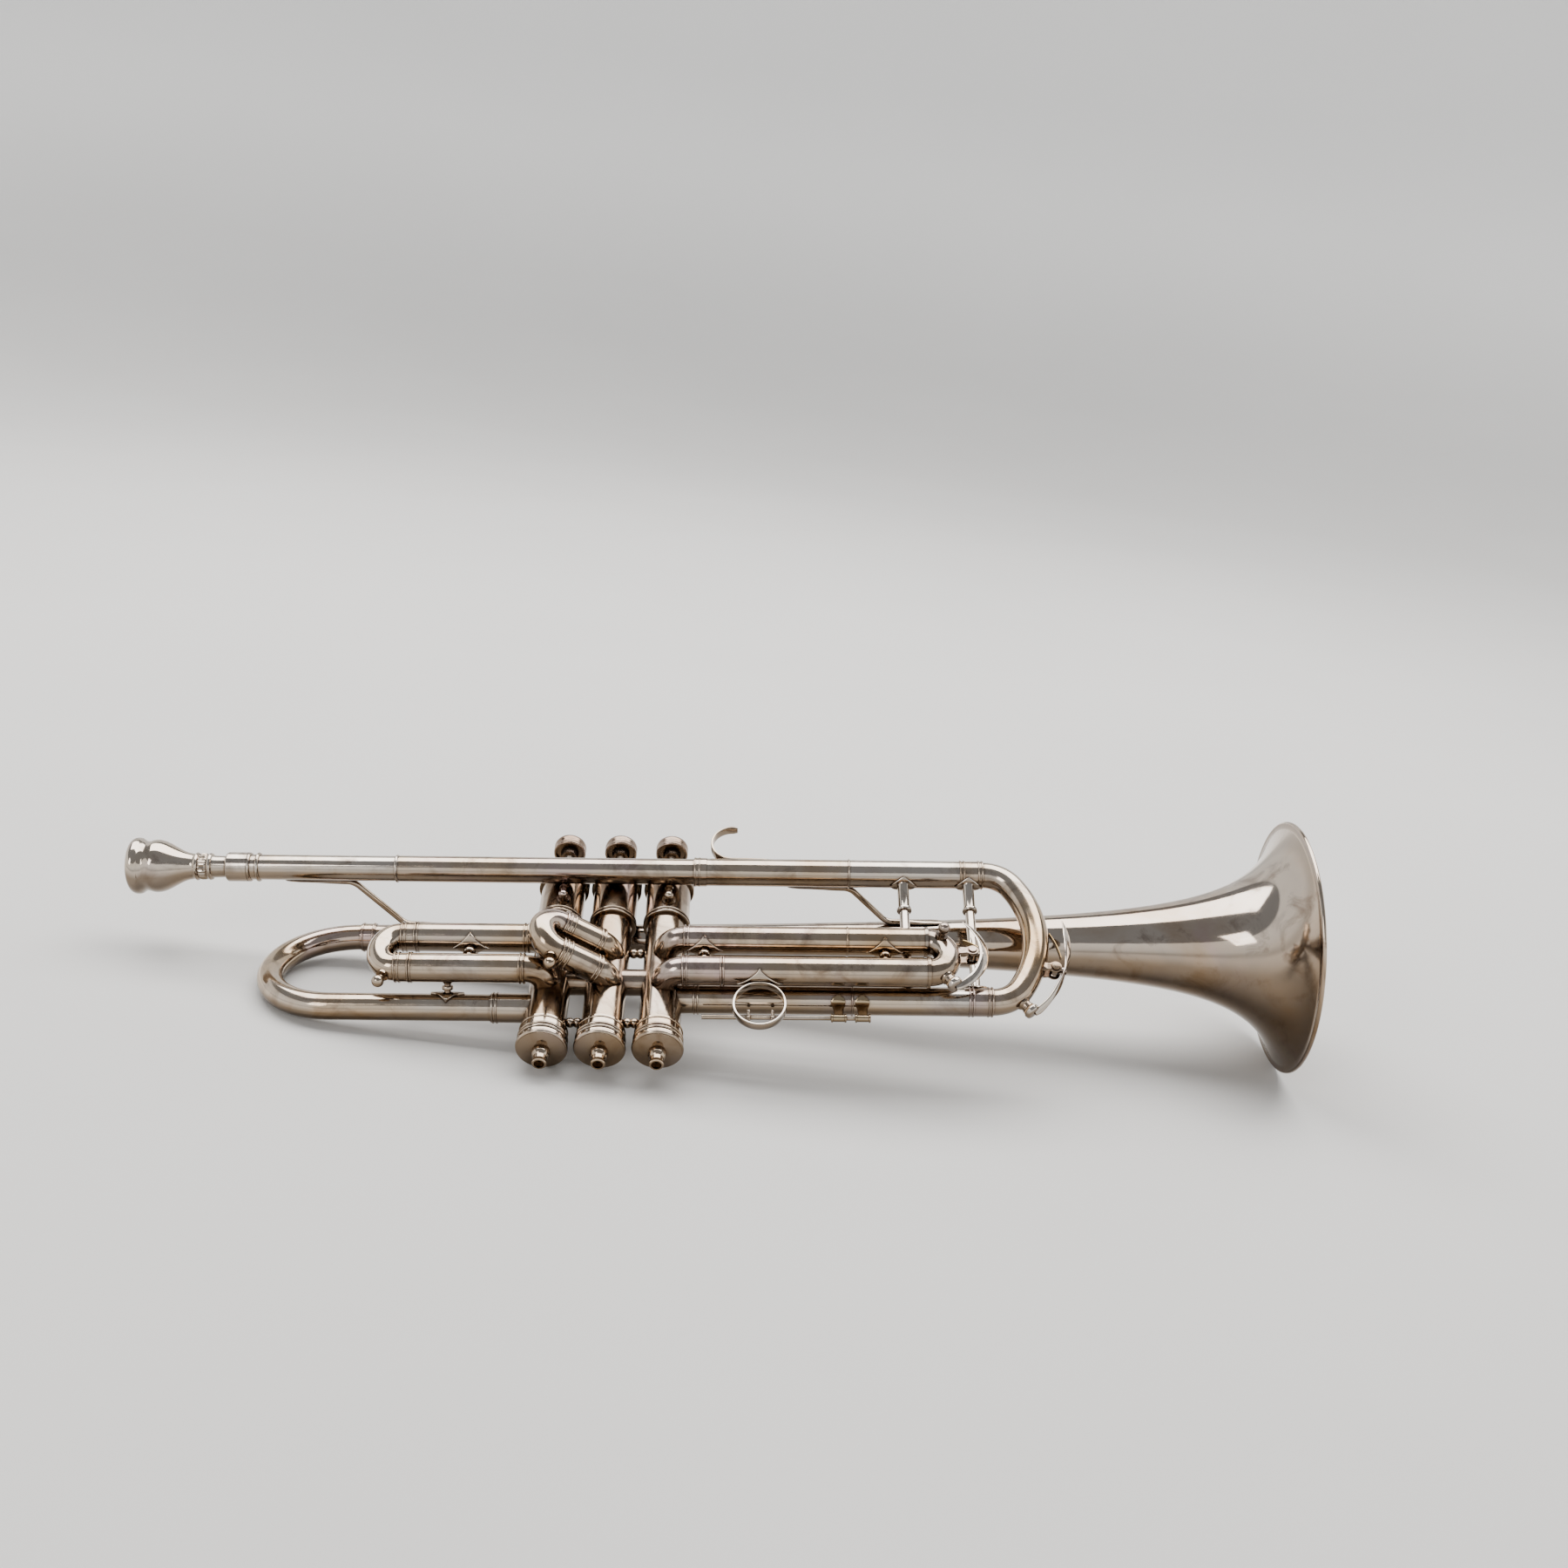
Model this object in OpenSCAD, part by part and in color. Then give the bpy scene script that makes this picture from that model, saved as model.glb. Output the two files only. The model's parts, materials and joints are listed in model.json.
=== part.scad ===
// Three-valve cornet in the long pattern, lying on its left side.
//
// The sub-parts are drawn in the instrument's own axes: +X to the bell, +Y to the finger
// buttons, +Z to the player's right. X = 0 is the second valve, Y = 0 the faces of the
// bottom caps, Z = 0 the plane of the valves. placed() then lays the instrument down on its
// bell rim and bell bow, as it balances on a flat floor.

/* [Valves] */
// Distance between neighbouring valves
valve_pitch = 25.5; // [25:0.1:27]
// Outer radius of the lower valve casings
casing_r = 9.45; // [9.3:0.05:9.6]
// Outer radius of the spring boxes above them
spring_box_r = 10.6; // [10.4:0.05:10.7]
// Height of the step between casing and spring box
step_y = 84; // [83:0.5:85]
// Height of the top of the casings
casing_top_y = 112; // [111:0.5:113]
// Radius of the pistons
piston_r = 8.3; // [8.1:0.05:8.3]
// Travel of the pistons
valve_travel = 16.5; // [14:0.5:16.5]
// Radius of the finger buttons
button_r = 7.95; // [7:0.05:8.5]
// Widest radius of the bottom caps
cap_r = 11.6; // [11:0.1:12.2]

/* [Tubes] */
// Outer radius of outer slide tubes and sleeves
outer_r = 6.6; // [6.6:0.05:6.8]
// Outer radius of inner slide legs
leg_r = 6.0; // [5.9:0.05:6.0]
// Radius of the air way
bore_r = 5.6; // [5.3:0.05:5.6]
// Outer radius of bends and elbows
bend_r = 6.15; // [6.1:0.05:6.2]

/* [Layout] */
// Height of the lead pipe above the bottom caps
pipe_y = 102.7; // [102:0.1:103.4]
// Distance of the lead pipe to the right of the valves
pipe_z = 17.6; // [17.5:0.1:18.5]
// Height of the main slide's lower leg
leg_y = 33; // [32:0.5:34]
// Height of the bell axis
bell_y = 95; // [94:0.5:96]
// Distance of the bell axis from the valve plane, to the left
bell_z = -19.5; // [-20:0.1:-19.5]
// Height of the bell bow's lower leg
bow_y = 26; // [25:0.5:27]
// Distance of the first and third slides to the right of the valves
slide_z = 15.6; // [15.5:0.1:16]
// Height of the upper tubes of the first and third slides
slide_top_y = 56; // [55.5:0.1:56.5]
// Height of their lower tubes
slide_low_y = 35.3; // [35:0.1:35.5]

/* [Bell] */
// Position of the bell rim along the instrument
rim_x = 327.6; // [320:0.1:335]
// Radius of the bell at its rim
rim_r = 60.9; // [58:0.1:62]
// Length of the fast part of the flare
flare_k = 16; // [14:0.5:18]
// How quickly the flare opens
flare_power = 0.68; // [0.66:0.01:0.7]
// Radius of the rolled rim wire
wire_r = 1.1; // [0.9:0.1:1.3]

/* [Lead pipe and mouthpiece] */
// Position of the open end of the mouthpiece receiver
receiver_x = -184; // [-190:1:-180]
// Length of the mouthpiece that stands out of the receiver
mouthpiece_out = 45; // [42:1:48]
// Length of the mouthpiece shank inside the receiver
shank_in = 22; // [20:1:23]
// Outer radius of the mouthpiece rim
mouth_rim_r = 13.5; // [13:0.1:14]

/* [Resting position] */
// Roll about the long axis, bottom caps down, at which the instrument balances
rest_roll = 18.28; // [0:0.01:20]
// Slope of the long axis, rising to the bell, that brings the bell bow down to the floor
rest_pitch = 6.31; // [0:0.01:8]

/* [Hidden] */
$fn = 64;

fit = 0.05;                                // radial running clearance
silver = [0.86, 0.83, 0.79];
bead_r = 0.45;                             // radius of the ornamental beads on the tubes
bead_gap = 1.7;                            // distance between the two beads of a pair
flange_t = 0.7;                            // thickness of the soldered flanges
seam = 0.005;                              // half the width of the soldered seams in the bends
corner_a = 55;                             // turn of each corner arc of a bow

valve_x = [-valve_pitch, 0, valve_pitch];
casing_bore = piston_r + fit;
box_bore = spring_box_r - 1.0;             // inside radius of the spring boxes
casing_low_y = 11.5;                       // lower end of the casings, inside the caps
piston_low_y = 22;
seat_y = 108;                              // underside of the spring seat
button_low_y = 137;
button_top_y = 143.6;
stem_r = 2.3;
felt_y = 117.5;                            // top of the top caps, where the felts lie
knuckle_y = 43.6;

rail_x = 38.2;                             // start of the main slide's outer tube on the lead pipe
split_x = 112.6;                           // where the main slide leaves its outer tubes
main_bow_x = 176.3;                        // where the main bow starts
main_bow_out = 22.4;                       // how far its centre line reaches past that
main_ferrule = 11.4;                       // length of the ferrules before the bow
main_dy = leg_y - pipe_y;
main_dz = -pipe_z;
main_span = norm([main_dy, main_dz]);
post_x = [138, 169];                       // the two posts across the main slide

bow_x = -123;                              // where the bell bow starts
bow_out = 34.7;
bow_dy = bow_y - bell_y;
bow_dz = -bell_z;
bow_span = norm([bow_dy, bow_dz]);
bell_length = rim_x - bow_x;

slide_span = slide_top_y - slide_low_y;
elbow_r = 8;                               // bend radius of the elbows on the casings
elbow_x = 1.5;                             // their distance from the valve axis
first_split_x = -86.4;
first_bow_x = -93.5;
first_bow_out = 8;
third_start_x = 35.1;
third_split_x = 110.5;
third_low_split_x = 53.2;
third_bow_x = 146.1;
third_bow_out = 9.2;
ring_x = 70.1;                             // finger ring of the third slide
ring_in_r = 10.9;
ring_out_r = 12.1;
ring_w = 4.2;
ring_tilt = 9.5;                           // turn of the ring and its flange round the lower tube

second_a = 57;                             // turn of the second slide's elbows
second_elbow_r = 10;
second_z = 5;                              // height where these elbows start to turn
second_top_y = 55.5;
second_span = 18;
second_outer = 15.5;                       // length of the second slide's outer tubes
second_sleeve = 5;

// The floor's upward direction in the instrument's axes, and the height of the axes' origin
// above the floor when the rim wire touches it
up = [sin(rest_pitch), sin(rest_roll) * cos(rest_pitch), cos(rest_roll) * cos(rest_pitch)];
rim_centre = [rim_x, bell_y, bell_z];
wire_path_r = rim_r - 0.3;
rest_lift = wire_path_r * cos(rest_pitch) + wire_r - up * rim_centre;
rest_middle = [48.98, 74.27];              // middle of the outline on the floor

rod_y = 18.5;                              // stop rod of the main slide
rod_z = 3;
rod_r = 1.1;
guide_x = 105.6;
clamp_x = 116.4;
collar_l = 7;
nut_x = [64.4, 75.3];
nut_t = 1.6;

// ---- helpers -------------------------------------------------------------------------

// Lays the finished instrument down on the floor, with the origin under its middle
module placed() {
    translate([-rest_middle[0], -rest_middle[1], rest_lift])
        rotate([rest_roll, -rest_pitch, 0])
            children();
}

// Points the children's +Z along the instrument's +X
module along_x(x, y, z) {
    translate([x, y, z])
        rotate([0, 90, 0])
            children();
}

// Points the children's +Z along the instrument's +Y
module along_y(x, y, z) {
    translate([x, y, z])
        rotate([-90, 0, 0])
            children();
}

// Ring of rectangular section on the Z axis
module pipe(length, r_out, r_in) {
    rotate_extrude()
        translate([r_in, 0])
            square([r_out - r_in, length]);
}

// Straight tube on the Z axis with a bead at each height in the list
module beaded_pipe(length, r_out, r_in, beads) {
    rotate_extrude() {
        translate([r_in, 0])
            square([r_out - r_in, length]);
        for (b = beads)
            translate([r_out, b])
                circle(r = bead_r, $fn = 24);
    }
}

// Tube segment that starts at the origin along +X and turns towards -Y. A seam is the hair
// of solder left open at each end where segments of different radius meet.
module bend(radius, angle, r_out, r_in, seam = 0) {
    seam_a = seam / radius * 180 / PI;
    translate([0, -radius, 0])
        rotate([0, 0, 90 - angle + seam_a])
            rotate_extrude(angle = angle - 2 * seam_a)
                translate([radius, 0])
                    difference() {
                        circle(r = r_out);
                        circle(r = r_in);
                    }
}

// The same for a solid rod, with a seam at both ends
module rod_bend(radius, angle, r) {
    seam_a = seam / radius * 180 / PI;
    translate([0, -radius, 0])
        rotate([0, 0, 90 - angle + seam_a])
            rotate_extrude(angle = angle - 2 * seam_a)
                translate([radius, 0])
                    circle(r = r);
}

// Round bar on the Z axis with a domed far end
module domed_bar(length, r) {
    rotate_extrude() {
        square([r, length]);
        translate([0, length])
            intersection() {
                circle(r = r);
                square([r, r]);
            }
    }
}

// Moves the children to the far end of such a bend
module after_bend(radius, angle) {
    translate([radius * sin(angle), -radius * (1 - cos(angle)), 0])
        rotate([0, 0, -angle])
            children();
}

// Radii of a bow made of two corner arcs and a flatter arc between them
function corner_radius(half, out) =
    (out - half * (1 - sin(corner_a)) / cos(corner_a))
    / (sin(corner_a) - (1 - cos(corner_a)) * (1 - sin(corner_a)) / cos(corner_a));
function middle_radius(half, out) =
    (half - (1 - cos(corner_a)) * corner_radius(half, out)) / cos(corner_a);

// Bow from the origin along +X, round to 2 * half below it, reaching out past the start
module u_bend(half, out, r_out, r_in) {
    corner = corner_radius(half, out);
    middle = middle_radius(half, out);
    turn = 180 - 2 * corner_a;
    bend(corner, corner_a, r_out, r_in, seam);
    after_bend(corner, corner_a) {
        bend(middle, turn, r_out, r_in, seam);
        after_bend(middle, turn)
            bend(corner, corner_a, r_out, r_in, seam);
    }
}

// Roll about X that turns -Y into the direction (dy, dz)
function roll_to(dy, dz) = atan2(-dz, -dy);

// Frame of a bow: origin at its upper end, X outwards, -Y to its other end
module main_bow_frame(x) {
    translate([x, pipe_y, pipe_z])
        rotate([roll_to(main_dy, main_dz), 0, 0])
            children();
}

module bell_bow_frame() {
    translate([bow_x, bell_y, bell_z])
        rotate([roll_to(bow_dy, bow_dz), 0, 0])
            mirror([1, 0, 0])
                children();
}

// Elbow that rises from a casing and turns towards +X
module rising() {
    rotate([90, -90, 0])
        children();
}

// Diamond flange under a tube on the X axis, with its post leaving towards -Y
module diamond_flange(r, half_length, half_width) {
    waist = 0.42;
    intersection() {
        along_x(-half_length, 0, 0)
            pipe(2 * half_length, r + flange_t, r);
        rotate([90, 0, 0])
            linear_extrude(height = r + 3)
                polygon([
                    [half_length, 0],
                    [half_length * waist, half_width * waist],
                    [0, half_width],
                    [-half_length * waist, half_width * waist],
                    [-half_length, 0],
                    [-half_length * waist, -half_width * waist],
                    [0, -half_width],
                    [half_length * waist, -half_width * waist]
                ]);
    }
}

// Short turned post along -Y between two tube surfaces
module turned_post(length, r) {
    rotate([90, 0, 0])
        rotate_extrude() {
            square([r, length]);
            translate([0, length / 2 - 0.9])
                square([r + 0.7, 1.8]);
        }
}

// Closed coil spring on the Z axis, as one swept ring of facets
module coil(radius, wire, height, turns) {
    per_turn = 14;
    sides = 6;
    last = per_turn * turns;
    points = [
        for (i = [0 : last])
            for (j = [0 : sides - 1])
                let (
                    a = 360 * i / per_turn,
                    b = 360 * j / sides,
                    r = radius + wire * cos(b)
                )
                [r * cos(a), r * sin(a), wire + (height - 2 * wire) * i / last + wire * sin(b)]
    ];
    walls = [
        for (i = [0 : last - 1])
            for (j = [0 : sides - 1])
                let (k = (j + 1) % sides)
                [i * sides + j, (i + 1) * sides + j, (i + 1) * sides + k, i * sides + k]
    ];
    start = [for (j = [0 : sides - 1]) j];
    end = [for (j = [sides - 1 : -1 : 0]) last * sides + j];
    polyhedron(points = points, faces = concat([start], walls, [end]));
}

// Curved strip from p to q in the XY plane that bulges to the right by bulge
module crescent(p, q, bulge, width, thick) {
    chord = norm(q - p);
    radius = (chord * chord / 4 + bulge * bulge) / (2 * bulge);
    out = [p[1] - q[1], q[0] - p[0]] / chord;
    centre = (p + q) / 2 - out * (radius - bulge);
    span = 2 * asin(chord / (2 * radius));
    first = atan2(q[1] - centre[1], q[0] - centre[0]);
    translate([centre[0], centre[1], 0])
        rotate([0, 0, first])
            rotate_extrude(angle = span, $fn = 96)
                translate([radius - thick / 2, -width / 2])
                    square([thick, width]);
}

// ---- bell and bell bow -----------------------------------------------------------------

function bell_radius(s) = rim_r * pow(flare_k / (s + flare_k), flare_power);

// The bell is brazed from three lengths that meet at these distances from the rim
bell_joint_s = [0, 78, 228, bell_length];
bell_wall = 0.75;
flare_steps = 16;

// Distances from the rim in one length, close together where the flare is fast
function flare_s(near, far, i) =
    (near + flare_k) * pow((far + flare_k) / (near + flare_k), i / flare_steps) - flare_k;

module bell_part(near, far) {
    depths = [for (i = [0 : flare_steps]) flare_s(near, far, i)];
    outer = [for (s = depths) [bell_radius(s), -s]];
    inner = [for (i = [flare_steps : -1 : 0]) [bell_radius(depths[i]) - bell_wall, -depths[i]]];
    color(silver)
        along_x(rim_x, bell_y, bell_z)
            rotate_extrude($fn = 128)
                polygon(concat(outer, inner));
}

module bell() { bell_part(bell_joint_s[0], bell_joint_s[1]); }
module bell_stem() { bell_part(bell_joint_s[1], bell_joint_s[2]); }
module bell_tail() { bell_part(bell_joint_s[2], bell_joint_s[3]); }

module bell_rim_wire() {
    color(silver)
        along_x(rim_x, bell_y, bell_z)
            rotate_extrude($fn = 128)
                translate([wire_path_r, 0])
                    circle(r = wire_r);
}

module bell_bow() {
    tube_r = bell_radius(bell_length);
    color(silver) {
        bell_bow_frame()
            u_bend(bow_span / 2, bow_out, tube_r, bore_r);
        along_x(bow_x, bow_y, 0)
            pipe(-valve_pitch - 15 - bow_x, tube_r, bore_r);
    }
}

module bell_bow_ferrules() {
    tube_r = bell_radius(bell_length);
    sleeve_x = -50.5;
    color(silver) {
        difference() {
            along_x(sleeve_x, bow_y, 0)
                beaded_pipe(18, tube_r + 0.6, tube_r, [1, 1 + bead_gap]);
            casing_core(-valve_pitch);
        }
        along_x(bow_x - 0.5, bell_y, bell_z)
            beaded_pipe(7, tube_r + 0.6, tube_r, [1, 6]);
    }
}

// ---- valves ----------------------------------------------------------------------------

// Space inside a casing and its wall, which the branch tubes stop at
module casing_core(x) {
    along_y(x, casing_low_y, 0)
        cylinder(h = step_y - casing_low_y, r = casing_r);
}

module casing_shell() {
    rotate_extrude() {
        translate([casing_bore, casing_low_y])
            square([casing_r - casing_bore, step_y - casing_low_y]);
        translate([casing_bore, step_y - 2])
            square([spring_box_r - casing_bore, 2]);
        translate([box_bore, step_y - 2])
            square([spring_box_r - box_bore, casing_top_y - step_y + 2]);
        for (b = [step_y - 1.4, step_y + 0.8])
            translate([spring_box_r, b])
                circle(r = 0.6, $fn = 24);
    }
}

// Air hole through the casing wall towards +X or -X
module side_port(x, y, side) {
    translate([x, y, 0])
        rotate([0, 90 * side, 0])
            cylinder(h = casing_r + 2, r = bore_r);
}

// Air hole towards +Z
module top_port(x, y) {
    translate([x, y, 0])
        cylinder(h = casing_r + 2, r = bore_r);
}

module casing(x, shift, top_ys) {
    difference() {
        along_y(x, 0, 0)
            casing_shell();
        for (y = top_ys)
            top_port(x + shift, y);
        children();
    }
}

module valve_casing_1() {
    x = valve_x[0];
    color(silver)
        casing(x, -elbow_x, [slide_top_y, slide_low_y]) {
            side_port(x, bow_y, -1);
            side_port(x, knuckle_y, 1);
        }
}

module valve_casing_2() {
    x = valve_x[1];
    color(silver)
        casing(x, elbow_x, [second_top_y, second_top_y - second_span]) {
            side_port(x, knuckle_y, -1);
            side_port(x, knuckle_y, 1);
        }
}

module valve_casing_3() {
    x = valve_x[2];
    color(silver)
        casing(x, elbow_x, [slide_top_y, slide_low_y]) {
            side_port(x, knuckle_y, -1);
            side_port(x, leg_y, 1);
        }
}

// Short air tubes between neighbouring casings
module casing_knuckles() {
    color(silver)
        for (i = [0, 1])
            difference() {
                along_x(valve_x[i], knuckle_y, 0)
                    pipe(valve_pitch, bend_r, bore_r);
                casing_core(valve_x[i]);
                casing_core(valve_x[i + 1]);
            }
}

// Pairs of balls that tie neighbouring casings together
module double_ball(x, y) {
    ball_r = 2.3;
    difference() {
        union() {
            along_x(x - 6, y, 0)
                cylinder(h = 12, r = 1.3);
            for (side = [-1, 1])
                translate([x + side * 1.6, y, 0])
                    sphere(r = ball_r);
        }
        casing_core(x - valve_pitch / 2);
        casing_core(x + valve_pitch / 2);
    }
}

module casing_stays() {
    middle = valve_pitch / 2;
    color(silver) {
        double_ball(-middle, 17);
        double_ball(middle, 17);
        double_ball(middle, 63.3);
    }
}

module top_cap_shape() {
    face_y = felt_y;
    rotate_extrude() {
        translate([spring_box_r, casing_top_y - 4])
            square([0.9, face_y - casing_top_y + 4]);
        translate([stem_r + 0.6, casing_top_y])
            square([spring_box_r + 0.9 - stem_r - 0.6, face_y - casing_top_y]);
        for (b = [casing_top_y - 3, casing_top_y - 1, casing_top_y + 1, face_y - 1])
            translate([spring_box_r + 0.9, b])
                circle(r = 0.6, $fn = 24);
    }
}

module top_caps() {
    color(silver)
        for (x = valve_x)
            along_y(x, 0, 0)
                top_cap_shape();
}

// Flanged cap with a domed face and a drain nipple in its middle
module bottom_cap_shape() {
    floor_y = 3;
    dome_h = 1.6;
    dome_r = (cap_r * cap_r + dome_h * dome_h) / (2 * dome_h);
    vent_r = 1.2;
    rotate_extrude() {
        difference() {
            union() {
                intersection() {
                    translate([0, dome_r - dome_h])
                        circle(r = dome_r, $fn = 200);
                    translate([0, -dome_h - 1])
                        square([cap_r - 0.9, floor_y + dome_h + 1]);
                }
                translate([0, 0.4])
                    square([cap_r - 0.4, floor_y - 0.4]);
                translate([cap_r - 1.1, 1.1])
                    circle(r = 1.1, $fn = 32);
                translate([0, -2.4])
                    circle(r = 4.1, $fn = 48);
                polygon([[3.2, -4.5], [2.9, -6.8], [3.3, -8.6], [2.9, -9], [0, -9], [0, -4.5]]);
            }
            translate([-5, -20])
                square([5, 40]);
            translate([0, -10])
                square([vent_r, 20]);
            translate([0, -10])
                square([2.3, 3.4]);
        }
        translate([casing_r, floor_y - 0.5])
            square([1.1, 9.5]);
        for (b = [4.6, 6.4])
            translate([casing_r + 1.1, b])
                circle(r = 0.75, $fn = 24);
        translate([casing_r + 1.1, 10.6])
            circle(r = 0.4, $fn = 24);
    }
}

module bottom_caps() {
    color(silver)
        for (x = valve_x)
            along_y(x, 0, 0)
                bottom_cap_shape();
}

// Collar on the ledge of each spring box, which the stem slides through
module valve_guides() {
    color("burlywood")
        for (x = valve_x)
            along_y(x, step_y, 0)
                pipe(1.6, box_bore, stem_r + fit);
}

// Hollow piston with three air ways through it, its stem and the spring seat. The straight
// way joins heights in_y and out_y; the two ports meet the slide's tubes when it is pressed.
module piston(x, in_y, out_y) {
    wall = 0.8;
    port_r = 5;
    top_y = step_y - 2.2;
    slant = atan2(out_y - in_y, 2 * piston_r);
    ports = [slide_low_y + valve_travel + 5, slide_top_y + valve_travel - 1.5];
    color([0.72, 0.7, 0.66]) {
        difference() {
            along_y(x, piston_low_y, 0)
                cylinder(h = top_y - piston_low_y, r = piston_r);
            difference() {
                along_y(x, piston_low_y + wall, 0)
                    cylinder(h = top_y - piston_low_y - 2 * wall, r = piston_r - wall);
                translate([x, (in_y + out_y) / 2, 0])
                    rotate([0, 0, slant])
                        rotate([0, 90, 0])
                            cylinder(h = 4 * piston_r, r = port_r + 0.5, center = true);
                for (y = ports)
                    translate([x, y, 0])
                        cylinder(h = 2 * piston_r, r = port_r + 0.5);
            }
            translate([x, (in_y + out_y) / 2, 0])
                rotate([0, 0, slant])
                    rotate([0, 90, 0])
                        cylinder(h = 4 * piston_r, r = port_r, center = true);
            for (y = ports)
                translate([x, y, 1.5])
                    cylinder(h = 2 * piston_r, r = port_r - 0.4);
            along_y(x, piston_low_y - 1, 0)
                cylinder(h = 3, r = 3);
        }
        along_y(x, 0, 0)
            rotate_extrude() {
                translate([0, top_y])
                    square([stem_r, button_low_y - top_y]);
                translate([0, seat_y])
                    square([box_bore - 0.3, casing_top_y - 1.7 - seat_y]);
            }
    }
}

module piston_1() { piston(valve_x[0], bow_y + 4, knuckle_y); }
module piston_2() { piston(valve_x[1], knuckle_y, knuckle_y); }
module piston_3() { piston(valve_x[2], knuckle_y, leg_y + 2); }

module valve_spring(x) {
    color("goldenrod")
        along_y(x, step_y + 1.7, 0)
            coil(7.2, 0.55, seat_y - step_y - 1.8, 5);
}

module valve_spring_1() { valve_spring(valve_x[0]); }
module valve_spring_2() { valve_spring(valve_x[1]); }
module valve_spring_3() { valve_spring(valve_x[2]); }

// Button with a boss, a hollow underside and a dished, ringed top
module finger_button(x) {
    edge_r = 1.1;
    color([0.62, 0.5, 0.42])
        along_y(x, 0, 0)
            rotate_extrude() {
                translate([stem_r, button_low_y - 2.6])
                    square([1.5, 4]);
                difference() {
                    union() {
                        translate([0, button_low_y])
                            square([button_r - edge_r, button_top_y - button_low_y]);
                        translate([0, button_low_y + edge_r])
                            square([button_r, button_top_y - button_low_y - 2 * edge_r]);
                        for (y = [button_low_y + edge_r, button_top_y - edge_r])
                            translate([button_r - edge_r, y])
                                circle(r = edge_r, $fn = 32);
                    }
                    translate([0, button_top_y + 28.9])
                        circle(r = 30, $fn = 200);
                    translate([4.4, button_low_y - 1])
                        square([2.4, 2.6]);
                }
            }
}

module finger_button_1() { finger_button(valve_x[0]); }
module finger_button_2() { finger_button(valve_x[1]); }
module finger_button_3() { finger_button(valve_x[2]); }

// Felt washer between the spring seat and the top cap
module valve_felt(x) {
    color("firebrick")
        along_y(x, casing_top_y - 1.7, 0)
            pipe(1.6, box_bore - 1.2, stem_r + 0.2);
}

module valve_felt_1() { valve_felt(valve_x[0]); }
module valve_felt_2() { valve_felt(valve_x[1]); }
module valve_felt_3() { valve_felt(valve_x[2]); }

// ---- lead pipe and receiver --------------------------------------------------------------

pipe_r = 6.25;
pipe_bore = 5.2;
sleeve_end_x = -102;

module lead_pipe() {
    color(silver)
        along_x(sleeve_end_x, pipe_y, pipe_z)
            pipe(rail_x + 6 - sleeve_end_x, pipe_r, pipe_bore);
}

// Radius of the tapered socket and shank at a depth inside the receiver
mouth_socket_r = 5.1;
socket_taper = 0.021;
function socket_r(depth) = mouth_socket_r - socket_taper * depth;

module mouthpiece_receiver() {
    length = sleeve_end_x - receiver_x;
    socket = 30;
    end_r = 7.0;
    edge = 1.2;
    color(silver)
        along_x(receiver_x, pipe_y, pipe_z)
            rotate_extrude()
                difference() {
                    union() {
                        square([6.05, length]);
                        translate([0, edge])
                            square([end_r, 9]);
                        square([end_r - edge, 5]);
                        translate([end_r - edge, edge])
                            circle(r = edge, $fn = 32);
                        for (b = [10.8, 15])
                            translate([6.1, b])
                                circle(r = 0.9, $fn = 24);
                        translate([6.05, length - 1.2])
                            circle(r = 0.7, $fn = 24);
                    }
                    polygon([
                        [-1, -1],
                        [socket_r(-1), -1],
                        [socket_r(socket), socket],
                        [pipe_bore, length + 1],
                        [-1, length + 1]
                    ]);
                }
}

module main_upper_outer_tube() {
    length = split_x - rail_x;
    color(silver)
        along_x(rail_x, pipe_y, pipe_z)
            rotate_extrude() {
                translate([pipe_r, 0])
                    square([outer_r + 0.3 - pipe_r, 6]);
                translate([leg_r + fit, 6])
                    square([outer_r - leg_r - fit, length - 6]);
                for (b = [0.6, 2.6, length - 0.5])
                    translate([outer_r + 0.1, b])
                        circle(r = bead_r, $fn = 24);
            }
}

module main_lower_outer_tube() {
    start_x = valve_pitch + 6;
    length = split_x - start_x;
    color(silver)
        difference() {
            along_x(start_x, leg_y, 0)
                beaded_pipe(length, outer_r, leg_r + fit, [9, 9 + bead_gap, length - 0.5]);
            casing_core(valve_pitch);
        }
}

// Small elbow posts that hold the lead pipe off the first and third spring boxes
module pipe_post(x) {
    post_y = 90;
    post_z = 13.6;
    color(silver) {
        translate([x, post_y, spring_box_r - 0.4])
            cylinder(h = post_z - spring_box_r + 0.4, r = 1.3);
        along_y(x, post_y, post_z)
            cylinder(h = pipe_y - 5 - post_y, r = 1.3);
        translate([x, post_y, post_z])
            sphere(r = 2.1);
        translate([x, post_y, spring_box_r - 0.6])
            cylinder(h = 1.4, r = 3.2);
        along_y(x, post_y + 4.2, post_z)
            cylinder(h = 1, r = 2);
    }
}

module pipe_posts() {
    difference() {
        for (x = [valve_x[0] + 2, valve_x[2] + 1])
            pipe_post(x);
        along_x(-60, pipe_y, pipe_z)
            cylinder(h = 120, r = pipe_r);
        for (x = [valve_x[0], valve_x[2]])
            along_y(x, step_y - 2, 0)
                cylinder(h = 30, r = spring_box_r);
    }
}

// ---- S-shaped braces between the lead pipe and the bell -------------------------------------

brace_r = 1.6;

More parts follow.
